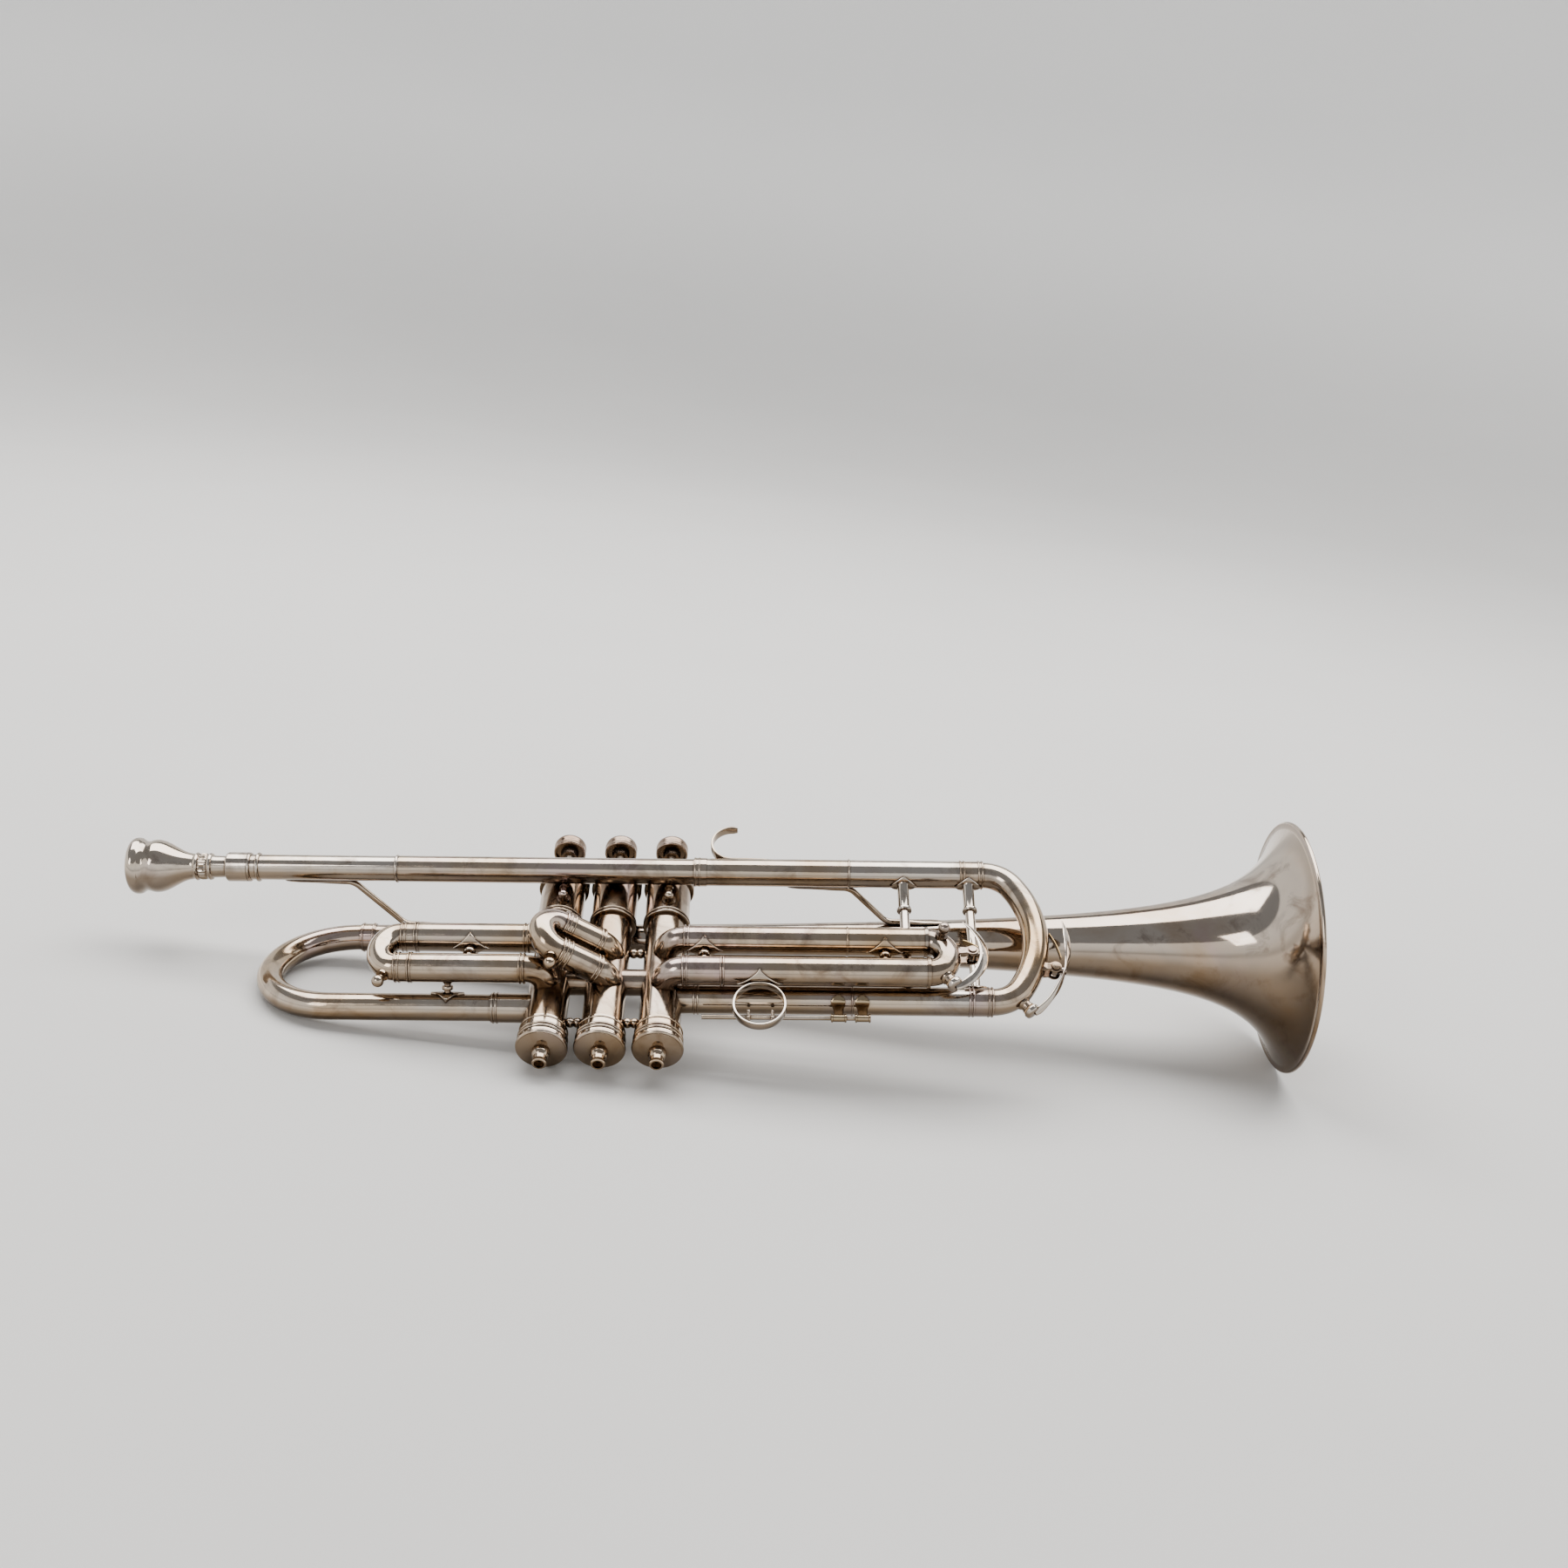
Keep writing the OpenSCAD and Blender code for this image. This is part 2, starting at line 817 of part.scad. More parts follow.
// Rod that leaves a tube of radius upper_r at x, drops to the bell and lies along it
module s_brace(x, upper_r, lower_r, upper_foot, lower_foot, bell_slope) {
    turn = 45;
    radius = 8;
    sink = 0.3;                            // how deep the feet are soldered in
    gap = norm([bell_y - pipe_y, bell_z - pipe_z]);
    drop = gap - upper_r - lower_r - 2 * (brace_r - sink);
    diagonal = (drop - 2 * radius * (1 - cos(turn))) / sin(turn);
    color(silver)
        translate([x, pipe_y, pipe_z])
            rotate([roll_to(bell_y - pipe_y, bell_z - pipe_z), 0, 0])
                translate([0, -upper_r - brace_r + sink, 0]) {
                    rotate([0, -90, 0])
                        domed_bar(upper_foot, brace_r);
                    rod_bend(radius, turn, brace_r);
                    after_bend(radius, turn) {
                        along_x(0, 0, 0)
                            cylinder(h = diagonal, r = brace_r);
                        translate([diagonal, 0, 0])
                            mirror([0, 1, 0]) {
                                rod_bend(radius, turn + bell_slope, brace_r);
                                after_bend(radius, turn + bell_slope) {
                                    along_x(0, 0, 0)
                                        domed_bar(lower_foot, brace_r);
                                }
                            }
                    }
                }
}

module rear_brace() {
    s_brace(-128, 6.05, bell_radius(rim_x + 90), 30, 22, 0);
}

module front_brace() {
    s_brace(110, outer_r, bell_radius(rim_x - 136), 28, 24, 2.5);
}

// ---- finger hook ----------------------------------------------------------------------------

module finger_hook() {
    hook_r = 10.2;
    strip = 1.4;
    width = 5;
    tilt = 10;                             // lean about the lead pipe
    base_y = outer_r + strip / 2 - 0.3;
    centre_x = 56.5;
    color(silver)
        translate([0, pipe_y, pipe_z])
            difference() {
                rotate([tilt, 0, 0]) {
                    translate([centre_x, base_y - strip / 2, -width / 2])
                        cube([27, strip, width]);
                    translate([centre_x, base_y + hook_r, 0])
                        rotate([0, 0, 78])
                            rotate_extrude(angle = 192)
                                translate([hook_r - strip / 2, -width / 2])
                                    square([strip, width]);
                }
                along_x(rail_x, 0, 0)
                    cylinder(h = 80, r = outer_r);
            }
}

// ---- branch tubes on the casings ----------------------------------------------------------------

// Elbow on a casing at height y, a ferrule bead, then whatever is passed on
module branch(y) {
    translate([elbow_x, y, 0])
        rising() {
            along_x(2, 0, 0)
                pipe(slide_z - elbow_r - 2, bend_r, bore_r);
            translate([slide_z - elbow_r, 0, 0]) {
                bend(elbow_r, 90, bend_r, bore_r);
                after_bend(elbow_r, 90)
                    children();
            }
        }
}

module first_branch_tubes() {
    elbow_end = elbow_x + elbow_r;
    length = -valve_pitch - elbow_end - first_split_x;
    color(silver)
        difference() {
            translate([-valve_pitch, 0, 0])
                mirror([1, 0, 0])
                    for (y = [slide_top_y, slide_low_y])
                        branch(y)
                            along_x(0, 0, 0) {
                                beaded_pipe(length, outer_r, leg_r + fit,
                                    [0.6, 0.6 + bead_gap, length - 0.5]);
                                pipe(1.5, outer_r, bore_r);
                            }
            casing_core(-valve_pitch);
        }
}

// Frame at the start of the second slide's upper outer tube, +X along the slide
module second_frame() {
    translate([elbow_x, second_top_y, 0])
        mirror([1, 0, 0])
            rising()
                translate([second_z, 0, 0])
                    after_bend(second_elbow_r, second_a)
                        children();
}

module second_branch_tubes() {
    color(silver)
        difference() {
            for (drop = [0, second_span])
                translate([0, -drop, 0]) {
                    translate([elbow_x, second_top_y, 0])
                        mirror([1, 0, 0])
                            rising() {
                                along_x(1, 0, 0)
                                    pipe(second_z - 1, bend_r, bore_r);
                                translate([second_z, 0, 0])
                                    bend(second_elbow_r, second_a, bend_r, bore_r, seam);
                            }
                    second_frame()
                        along_x(0, 0, 0)
                            beaded_pipe(second_outer, outer_r, leg_r + fit, [0.6, 0.6 + bead_gap]);
                }
            casing_core(0);
        }
}

module third_branch_tubes() {
    elbow_end = elbow_x + elbow_r + valve_pitch;
    upper = third_split_x - elbow_end;
    stub = third_low_split_x - elbow_end;
    inner_leg = 72;
    color(silver)
        difference() {
            translate([valve_pitch, 0, 0]) {
                branch(slide_top_y)
                    along_x(0, 0, 0) {
                        beaded_pipe(upper, outer_r, leg_r + fit, [0.6, 0.6 + bead_gap, upper - 0.5]);
                        pipe(1.5, outer_r, bore_r);
                    }
                branch(slide_low_y)
                    along_x(0, 0, 0) {
                        beaded_pipe(stub, outer_r, bore_r, [0.6, 0.6 + bead_gap, stub - 0.5]);
                        pipe(stub + inner_leg, leg_r, bore_r);
                    }
            }
            casing_core(valve_pitch);
        }
}

// Flange and post between the two tubes of a slide at x
module slide_stay(x, lower_r) {
    translate([x, slide_top_y, slide_z]) {
        diamond_flange(outer_r, 7.5, 5.4);
        difference() {
            translate([0, -outer_r - 0.3, 0])
                turned_post(slide_span - outer_r - lower_r, 2.2);
            translate([-5, -slide_span, 0])
                along_x(0, 0, 0)
                    cylinder(h = 10, r = lower_r);
        }
    }
}

// Post and downward flange between the first slide's lower tube and the bell bow
module bow_stay(x) {
    tube_r = bell_radius(bell_length);
    dy = slide_low_y - bow_y;
    direction = atan2(slide_z, dy);
    span = norm([slide_z, dy]);
    translate([x, bow_y, 0])
        rotate([direction, 0, 0])
            mirror([0, 1, 0]) {
                diamond_flange(tube_r, 6.5, 5);
                difference() {
                    translate([0, -tube_r - 0.3, 0])
                        turned_post(span - tube_r - outer_r + 0.4, 1.8);
                    translate([-5, -span, 0])
                        along_x(0, 0, 0)
                            cylinder(h = 10, r = outer_r);
                }
            }
}

module branch_stays() {
    color(silver) {
        slide_stay(-61.5, outer_r);
        slide_stay(44.8, outer_r);
        bow_stay(-70);
    }
}

// ---- main tuning slide ----------------------------------------------------------------------------

module main_slide_legs() {
    inside = 52;
    sleeve = main_bow_x - split_x - main_ferrule;
    gap = 0.1;
    color(silver)
        for (leg = [[pipe_y, pipe_z], [leg_y, 0]]) {
            along_x(split_x - inside, leg[0], leg[1])
                pipe(inside + gap, leg_r, bore_r);
            along_x(split_x + gap, leg[0], leg[1])
                pipe(sleeve - gap, outer_r, bore_r);
        }
}

module main_slide_bow() {
    color(silver) {
        main_bow_frame(main_bow_x)
            u_bend(main_span / 2, main_bow_out, bend_r, bore_r);
        for (leg = [[pipe_y, pipe_z], [leg_y, 0]])
            along_x(main_bow_x - main_ferrule, leg[0], leg[1])
                beaded_pipe(main_ferrule, outer_r, bore_r,
                    [0.5, 0.5 + bead_gap, main_ferrule - 0.5 - bead_gap, main_ferrule - 0.5]);
    }
}

// Two-piece posts with a ring at the joint and a flange on each leg
module main_slide_posts() {
    upper_r = 2.75;
    lower_r = 2.3;
    ring_y = 21;                           // distance of the joint ring from the upper leg
    color(silver)
        for (x = post_x)
            main_bow_frame(x) {
                diamond_flange(outer_r, 4.6, 5);
                translate([0, -main_span, 0])
                    mirror([0, 1, 0])
                        diamond_flange(outer_r, 4.6, 5);
                translate([0, -outer_r - 0.3, 0])
                    rotate([90, 0, 0])
                        rotate_extrude() {
                            square([upper_r, ring_y - outer_r]);
                            square([lower_r, main_span - 2 * outer_r - 0.6]);
                            translate([0, ring_y - outer_r - 0.8])
                                square([upper_r + 0.7, 1.6]);
                        }
            }
}

// Sleeve for the stop rod and the leaf that solders it to a leg
module rod_collar(x, hole_r) {
    leaf = 3.3;
    difference() {
        union() {
            along_x(x - collar_l / 2, rod_y, rod_z)
                cylinder(h = collar_l, r = 2.1);
            translate([x - 1.6, rod_y, rod_z])
                cube([3.2, leg_y - rod_y - 5.4, 1.5]);
            intersection() {
                along_x(x - leaf, leg_y, 0)
                    pipe(2 * leaf, outer_r + flange_t, outer_r);
                linear_extrude(height = 20) {
                    translate([x, leg_y - 3])
                        circle(r = leaf);
                    polygon([
                        [x - 1.6, leg_y - 9],
                        [x + 1.6, leg_y - 9],
                        [x + 2.2, leg_y - 1],
                        [x, leg_y + 2.6],
                        [x - 2.2, leg_y - 1]
                    ]);
                }
            }
        }
        along_x(x - collar_l, rod_y, rod_z)
            cylinder(h = 2 * collar_l, r = hole_r);
        along_x(x - collar_l, leg_y, 0)
            cylinder(h = 2 * collar_l, r = outer_r);
    }
}

module stop_rod_guide() {
    color(silver)
        rod_collar(guide_x, rod_r + 0.08);
}

module stop_rod_clamp() {
    color(silver)
        rod_collar(clamp_x, rod_r);
}

module stop_rod() {
    start_x = 44.3;
    thread_l = 40;
    color(silver)
        along_x(start_x, rod_y, rod_z)
            rotate_extrude() {
                square([rod_r, clamp_x + collar_l / 2 - start_x]);
                for (i = [0 : 39])
                    translate([rod_r - 0.12, 0.5 + i * thread_l / 40])
                        circle(r = 0.14, $fn = 16);
            }
}

module stop_rod_nuts() {
    color(silver)
        for (x = nut_x)
            along_x(x, rod_y, rod_z)
                pipe(nut_t, 3.6, rod_r + 0.03);
}

// ---- water keys -----------------------------------------------------------------------------------

// A key is drawn in its bow's plane, with the centre of the bow's lower corner arc at the
// origin. The nipple leaves that arc at nipple_a from -Y towards +X.

saddle_gap = 5.2;                          // free width between the ears
ear_t = 0.9;
ear_r = 2.9;
screw_r = 1.0;
barrel_r = 2.1;
nipple_h = 3.0;
lever_w = 4.6;
lever_t = 1.4;

main_corner = corner_radius(main_span / 2, main_bow_out);
main_nipple_a = 40;
main_pivot = [29.9, 1.5];
main_foot = [23.6, 1.8];
main_tip = [35.9, 29.3];
main_end = [18.9, -21.9];
main_bulge = 7.5;

third_corner = corner_radius(slide_span / 2, third_bow_out);
third_nipple_a = 35;
third_pivot = [20.6, 3.5];
third_foot = [13.7, 3.2];
third_tip = [18.3, 26.4];
third_end = [11.6, -18];
third_bulge = 11.2;

module main_key_frame() {
    main_bow_frame(main_bow_x)
        translate([0, main_corner - main_span, 0])
            children();
}

module third_key_frame() {
    translate([third_bow_x, slide_low_y + third_corner, slide_z])
        children();
}

// Frame of the nipple: +Z along it, origin on the centre line of the bow
module nipple_frame(corner, nipple_a) {
    translate([corner * sin(nipple_a), -corner * cos(nipple_a), 0])
        rotate([0, 0, nipple_a - 90])
            rotate([0, 90, 0])
                children();
}

// Nipple, two ears on the bow, and the screw through them
module key_saddle(corner, nipple_a, pivot, foot) {
    reach = foot - pivot;
    nipple_frame(corner, nipple_a)
        translate([0, 0, bend_r - 0.9])
            pipe(nipple_h + 0.9, 2.8, 1.5);
    for (side = [-1, 1])
        translate([pivot[0], pivot[1], side * (saddle_gap + ear_t) / 2]) {
            cylinder(h = ear_t, r = ear_r, center = true);
            rotate([0, 0, atan2(reach[1], reach[0])])
                translate([0, -1.7, -ear_t / 2])
                    cube([norm(reach), 3.4, ear_t]);
        }
    translate([pivot[0], pivot[1], -saddle_gap / 2 - ear_t - 0.4])
        cylinder(h = saddle_gap + 2 * ear_t + 0.8, r = screw_r);
    translate([pivot[0], pivot[1], saddle_gap / 2 + ear_t])
        cylinder(h = 0.9, r = 1.9);
}

// Lever with its hinge barrel, the web between them and the cup for the cork
module key_lever(corner, nipple_a, pivot, tip, end, bulge, web) {
    difference() {
        union() {
            crescent(tip, end, bulge, lever_w, lever_t);
            translate([pivot[0], pivot[1], 0])
                cylinder(h = saddle_gap - 0.3, r = barrel_r, center = true);
            translate([pivot[0], pivot[1] - 1.4, -1.6])
                cube([web, 2.8, 3.2]);
            nipple_frame(corner, nipple_a)
                translate([0, 0, bend_r + nipple_h + 0.9])
                    cylinder(h = 2.4, r = 3.7);
        }
        translate([pivot[0], pivot[1], 0])
            cylinder(h = 20, r = screw_r + fit, center = true);
        nipple_frame(corner, nipple_a)
            translate([0, 0, bend_r + nipple_h - 2])
                cylinder(h = 4.2, r = 3.1);
    }
}

module key_cork(corner, nipple_a) {
    nipple_frame(corner, nipple_a)
        translate([0, 0, bend_r + nipple_h + 0.05])
            cylinder(h = 2.15, r = 3.1);
}

module main_key_saddle() {
    color(silver)
        main_key_frame()
            key_saddle(main_corner, main_nipple_a, main_pivot, main_foot);
}

module main_key_lever() {
    color(silver)
        main_key_frame()
            key_lever(main_corner, main_nipple_a, main_pivot, main_tip, main_end, main_bulge, 5);
}

module main_key_cork() {
    color("peru")
        main_key_frame()
            key_cork(main_corner, main_nipple_a);
}

module main_key_spring() {
    color("goldenrod")
        main_key_frame()
            crescent([28.9, 21.5], [33.3, 8], 0.7, 2.6, 0.35);
}

module third_key_saddle() {
    color(silver)
        third_key_frame()
            key_saddle(third_corner, third_nipple_a, third_pivot, third_foot);
}

module third_key_lever() {
    color(silver)
        third_key_frame()
            key_lever(third_corner, third_nipple_a, third_pivot, third_tip, third_end, third_bulge, 5);
}

module third_key_cork() {
    color("peru")
        third_key_frame()
            key_cork(third_corner, third_nipple_a);
}

module third_key_spring() {
    color("goldenrod")
        third_key_frame()
            crescent([17.2, 12.5], [23.6, 8], 0.5, 2.6, 0.35);
}

// ---- first, second and third slides ------------------------------------------------------------------

// Ball on a waisted stem along +Z, soldered into a bow
module pull_knob() {
    rotate_extrude() {
        square([2.9, 1.6]);
        square([1.5, 3.6]);
    }
    translate([0, 0, 5.3])
        sphere(r = 2.8);
}

// Bow with a pair of sleeves, its inner legs and the beads on the sleeves, heading +X
module slide_bow(span, out, sleeve, legs) {
    u_bend(span / 2, out, bend_r, bore_r);
    for (y = [0, -span])
        translate([0, y, 0]) {
            along_x(-sleeve, 0, 0)
                beaded_pipe(sleeve, outer_r, bore_r, [0.5, sleeve - 0.5 - bead_gap, sleeve - 0.5]);
            along_x(-sleeve - legs, 0, 0)
                pipe(legs, leg_r, bore_r);
        }
}

module first_slide() {
    sleeve = first_split_x - first_bow_x - 0.1;
    color(silver)
        translate([first_bow_x, slide_top_y, slide_z])
            mirror([1, 0, 0]) {
                slide_bow(slide_span, first_bow_out, sleeve, 38);
                translate([4.2, -slide_span - 4.2, 0])
                    rotate([0, 0, 20])
                        rotate([90, 0, 0])
                            pull_knob();
            }
}

module second_slide() {
    color(silver)
        second_frame()
            translate([second_outer + second_sleeve, 0, 0])
                rotate([-90, 0, 0]) {
                    slide_bow(second_span, second_span / 2, second_sleeve - 0.1, 12);
                    translate([3, -second_span - 4.6, 0])
                        rotate([90, 0, 0])
                            pull_knob();
                }
}

module third_slide_legs() {
    start_x = third_split_x + 0.1;
    low_start_x = third_low_split_x + 0.1;
    color(silver) {
        along_x(start_x - 50, slide_top_y, slide_z)
            pipe(50, leg_r, bore_r);
        along_x(start_x, slide_top_y, slide_z)
            pipe(third_bow_x - start_x, outer_r, bore_r);
        along_x(low_start_x, slide_low_y, slide_z)
            beaded_pipe(third_bow_x - low_start_x, outer_r, leg_r + fit, [0.5]);
    }
}

module third_slide_bow() {
    cap_l = 1.4;
    color(silver)
        translate([third_bow_x, slide_top_y, slide_z]) {
            u_bend(slide_span / 2, third_bow_out, bend_r, bore_r);
            for (y = [0, -slide_span])
                along_x(-cap_l / 2, y, 0)
                    pipe(cap_l, outer_r + 0.5, outer_r);
            translate([6.4, -2.6, 5])
                rotate([-12, 14, 0])
                    pull_knob();
        }
}

module third_slide_stay() {
    color(silver)
        slide_stay(127, outer_r);
}

// Finger ring, its stem and the flange that holds it to the lower tube
module third_slide_ring() {
    drop = outer_r + ring_out_r + 0.6;
    color(silver)
        translate([ring_x, slide_low_y, slide_z])
            rotate([ring_tilt, 0, 0]) {
                translate([0, -drop, -ring_w / 2])
                    pipe(ring_w, ring_out_r, ring_in_r);
                diamond_flange(outer_r, 9.5, 6);
                difference() {
                    translate([-3.5, ring_out_r - drop - 0.8, -1.8])
                        cube([7, 4, 3.6]);
                    along_x(-10, 0, 0)
                        cylinder(h = 20, r = outer_r);
                }
            }
}

// ---- mouthpiece -------------------------------------------------------------------------------------------

// Smooth step from 0 to 1
function ease(t) = (1 - cos(180 * t)) / 2;
function blend(a, b, t) = a + (b - a) * ease(t);

module mouthpiece() {
    cup_r = 8.2;
    cup_depth = 11;
    throat_r = 1.85;
    rim_h = 3.2;
    total = shank_in + mouthpiece_out;
    steps = 8;
    bowl = [for (i = [0 : steps]) [blend(6.2, 12.6, i / steps), 37 + 18 * i / steps]];
    neck = [for (i = [1 : 4]) [blend(12.6, 11.6, i / 4), 55 + 5 * i / 4]];
    rim_mid = (mouth_rim_r + cup_r) / 2;
    rim_half = (mouth_rim_r - cup_r) / 2;
    rim_base = total - rim_h;
    outer_rim = [for (a = [-60 : 15 : 90]) [rim_mid + rim_half * cos(a), rim_base + rim_h * sin(a)]];
    inner_rim = [for (a = [105 : 15 : 180]) [rim_mid + rim_half * cos(a), rim_base + rim_h * sin(a)]];
    cup = [for (a = [15 : 15 : 75]) [cup_r * cos(a) + throat_r * sin(a), rim_base - cup_depth * sin(a)]];
    color(silver)
        along_x(receiver_x - mouthpiece_out, pipe_y, pipe_z)
            translate([0, 0, total])
                mirror([0, 0, 1])
                    rotate_extrude()
                        difference() {
                            union() {
                                polygon(concat(
                                    [[0, 0], [socket_r(shank_in) - fit, 0], [socket_r(0) - fit, shank_in]],
                                    [[5.6, 34], [6.2, 37]],
                                    bowl, neck, outer_rim,
                                    [[0, total]]
                                ));
                                for (b = [31, 35.5])
                                    translate([5.4, b])
                                        circle(r = 1.2, $fn = 32);
                            }
                            polygon(concat(
                                [[-1, total + 1], [rim_mid, total + 1], [rim_mid, total]],
                                inner_rim, cup,
                                [[throat_r, total - rim_h - cup_depth - 2], [3.8, -1], [-1, -1]]
                            ));
                        }
}

placed() bell();
placed() bell_stem();
placed() bell_tail();
placed() bell_rim_wire();
placed() bell_bow();
placed() bell_bow_ferrules();
placed() lead_pipe();
placed() mouthpiece_receiver();
placed() main_upper_outer_tube();
placed() main_lower_outer_tube();
placed() valve_casing_1();
placed() valve_casing_2();
placed() valve_casing_3();
placed() casing_knuckles();
placed() casing_stays();
placed() top_caps();
placed() bottom_caps();
placed() valve_guides();
placed() first_branch_tubes();
placed() second_branch_tubes();
placed() third_branch_tubes();
placed() branch_stays();
placed() pipe_posts();
placed() rear_brace();
placed() front_brace();
placed() finger_hook();
placed() stop_rod_guide();
placed() piston_1();
placed() piston_2();
placed() piston_3();
placed() valve_spring_1();
placed() valve_spring_2();
placed() valve_spring_3();
placed() finger_button_1();
placed() finger_button_2();
placed() finger_button_3();
placed() valve_felt_1();
placed() valve_felt_2();
placed() valve_felt_3();
placed() main_slide_legs();
placed() main_slide_bow();
placed() main_slide_posts();
placed() main_key_saddle();
placed() stop_rod();
placed() stop_rod_clamp();
placed() stop_rod_nuts();
placed() main_key_lever();
placed() main_key_cork();
placed() main_key_spring();
placed() first_slide();
placed() second_slide();
placed() third_slide_legs();
placed() third_slide_bow();
placed() third_slide_stay();
placed() third_slide_ring();
placed() third_key_saddle();
placed() third_key_lever();
placed() third_key_cork();
placed() third_key_spring();
placed() mouthpiece();
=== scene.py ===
import json
import math

import bmesh
import bpy
from mathutils import Matrix, Vector


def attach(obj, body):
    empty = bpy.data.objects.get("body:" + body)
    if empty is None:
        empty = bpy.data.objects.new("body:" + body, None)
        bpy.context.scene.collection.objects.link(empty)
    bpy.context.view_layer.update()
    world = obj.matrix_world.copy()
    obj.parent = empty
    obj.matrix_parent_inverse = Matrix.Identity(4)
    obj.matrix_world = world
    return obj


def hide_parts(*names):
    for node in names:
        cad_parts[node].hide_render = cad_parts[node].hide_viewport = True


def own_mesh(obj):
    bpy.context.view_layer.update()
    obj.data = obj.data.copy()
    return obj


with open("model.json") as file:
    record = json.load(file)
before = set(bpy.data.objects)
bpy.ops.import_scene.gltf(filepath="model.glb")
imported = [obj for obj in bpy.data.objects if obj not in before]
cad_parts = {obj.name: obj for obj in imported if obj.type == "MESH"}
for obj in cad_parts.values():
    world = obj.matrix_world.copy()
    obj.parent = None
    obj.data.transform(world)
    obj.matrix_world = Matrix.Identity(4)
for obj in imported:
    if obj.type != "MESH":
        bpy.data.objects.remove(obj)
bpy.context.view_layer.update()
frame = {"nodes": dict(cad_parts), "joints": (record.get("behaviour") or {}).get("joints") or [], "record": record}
record = frame["record"]
joints = {j["name"]: j for j in frame["joints"]}
mounts = {m["name"]: m for m in record["mounts"]}
slot_of = {s["node"]: s["material_slot"] for s in record["subparts"]}

# ---- the instrument's own axes ------------------------------------------------------------
# X towards the bell, Y towards the buttons, Z to the player's right, in millimetres from the
# second valve. The joints' axes and the mouthpiece's mount place them in the row's frame.

AXIS_X = Vector(joints["main_tuning_slide"]["axis"]).normalized()
AXIS_Y = -Vector(joints["valve_2"]["axis"]).normalized()
AXIS_Z = AXIS_X.cross(AXIS_Y).normalized()
TURN = Matrix((AXIS_X, AXIS_Y, AXIS_Z)).transposed()
MM = 0.001
LEAD = (102.7, 17.6)          # height and depth of the lead pipe's axis
MOUTH_X = -229.0              # end of the mouthpiece, at its rim
MOUTH = Vector((MOUTH_X, *LEAD))
ORIGIN = Vector(mounts["mouthpiece_rim"]["pos_m"]) - TURN @ MOUTH * MM


def place(point):
    """A point in instrument millimetres, as metres in the row's frame."""
    return ORIGIN + TURN @ Vector(point) * MM


def turned(direction):
    return (TURN @ Vector(direction)).normalized()


# ---- camera ---------------------------------------------------------------------------------

# The camera's place and its right, up and backward directions, in the instrument's axes
CAMERA_AT = (69.136, -537.17, 540.22)
CAMERA_AXES = [
    (0.999826, -0.003947, 0.018235),
    (-0.011583, 0.63489, 0.772515),
    (-0.014626, -0.772592, 0.634734),
]
cam_data = bpy.data.cameras.new("camera")
cam_data.sensor_width = 36.0
cam_data.lens = 39.6
cam_data.shift_y = 0.06
cam_data.dof.use_dof = False
cam_data.clip_start = 0.05
cam_data.clip_end = 60.0
camera = bpy.data.objects.new("camera", cam_data)
bpy.context.scene.collection.objects.link(camera)
camera_turn = Matrix([turned(axis) for axis in CAMERA_AXES]).transposed()
camera.matrix_world = Matrix.Translation(place(CAMERA_AT)) @ camera_turn.to_4x4()
bpy.context.scene.camera = camera

# ---- materials ------------------------------------------------------------------------------


class Nodes:
    """Short hand for building one node material."""

    def __init__(self, name):
        self.material = bpy.data.materials.new(name)
        self.material.use_nodes = True
        self.tree = self.material.node_tree
        self.tree.nodes.clear()
        self.out = self.add("ShaderNodeOutputMaterial")
        self.shader = self.add("ShaderNodeBsdfPrincipled")
        self.link(self.shader, "BSDF", self.out, "Surface")
        self.coords = self.add("ShaderNodeTexCoord")

    def add(self, kind, **values):
        node = self.tree.nodes.new(kind)
        for key, value in values.items():
            setattr(node, key, value)
        return node

    def link(self, a, out_name, b, in_name):
        self.tree.links.new(a.outputs[out_name], b.inputs[in_name])

    def noise(self, scale, detail=3.0, rough=0.55, stretch=(1, 1, 1), offset=(0, 0, 0),
              distortion=0.0):
        mapping = self.add("ShaderNodeMapping")
        mapping.inputs["Scale"].default_value = stretch
        mapping.inputs["Location"].default_value = offset
        self.link(self.coords, "Object", mapping, "Vector")
        node = self.add("ShaderNodeTexNoise")
        node.inputs["Scale"].default_value = scale
        node.inputs["Detail"].default_value = detail
        node.inputs["Roughness"].default_value = rough
        node.inputs["Distortion"].default_value = distortion
        self.link(mapping, "Vector", node, "Vector")
        return node

    def ramp(self, source, out_name, stops):
        node = self.add("ShaderNodeValToRGB")
        elements = node.color_ramp.elements
        while len(elements) < len(stops):
            elements.new(0.5)
        for element, (at, colour) in zip(elements, stops):
            element.position = at
            element.color = (*colour, 1) if len(colour) == 3 else colour
        self.link(source, out_name, node, "Fac")
        return node

    def remap(self, source, low, high):
        node = self.add("ShaderNodeMapRange", interpolation_type="SMOOTHSTEP")
        node.inputs["From Min"].default_value = low
        node.inputs["From Max"].default_value = high
        self.tree.links.new(source.outputs[0], node.inputs["Value"])
        return node

    def mix(self, factor, factor_out, a, a_out, b, b_out, blend="MIX"):
        node = self.add("ShaderNodeMix", data_type="RGBA", blend_type=blend)
        self.tree.links.new(factor.outputs[factor_out], node.inputs["Factor"])
        self.tree.links.new(a.outputs[a_out], node.inputs["A"])
        self.tree.links.new(b.outputs[b_out], node.inputs["B"])
        return node

    def bump(self, layers):
        """layers of (node, output, strength, distance in metres), each on top of the last."""
        last = None
        for source, out_name, strength, distance in layers:
            node = self.add("ShaderNodeBump")
            node.inputs["Strength"].default_value = strength
            node.inputs["Distance"].default_value = distance
            self.link(source, out_name, node, "Height")
            if last:
                self.link(last, "Normal", node, "Normal")
            last = node
        self.link(last, "Normal", self.shader, "Normal")


def grey(v):
    return (v, v, v)


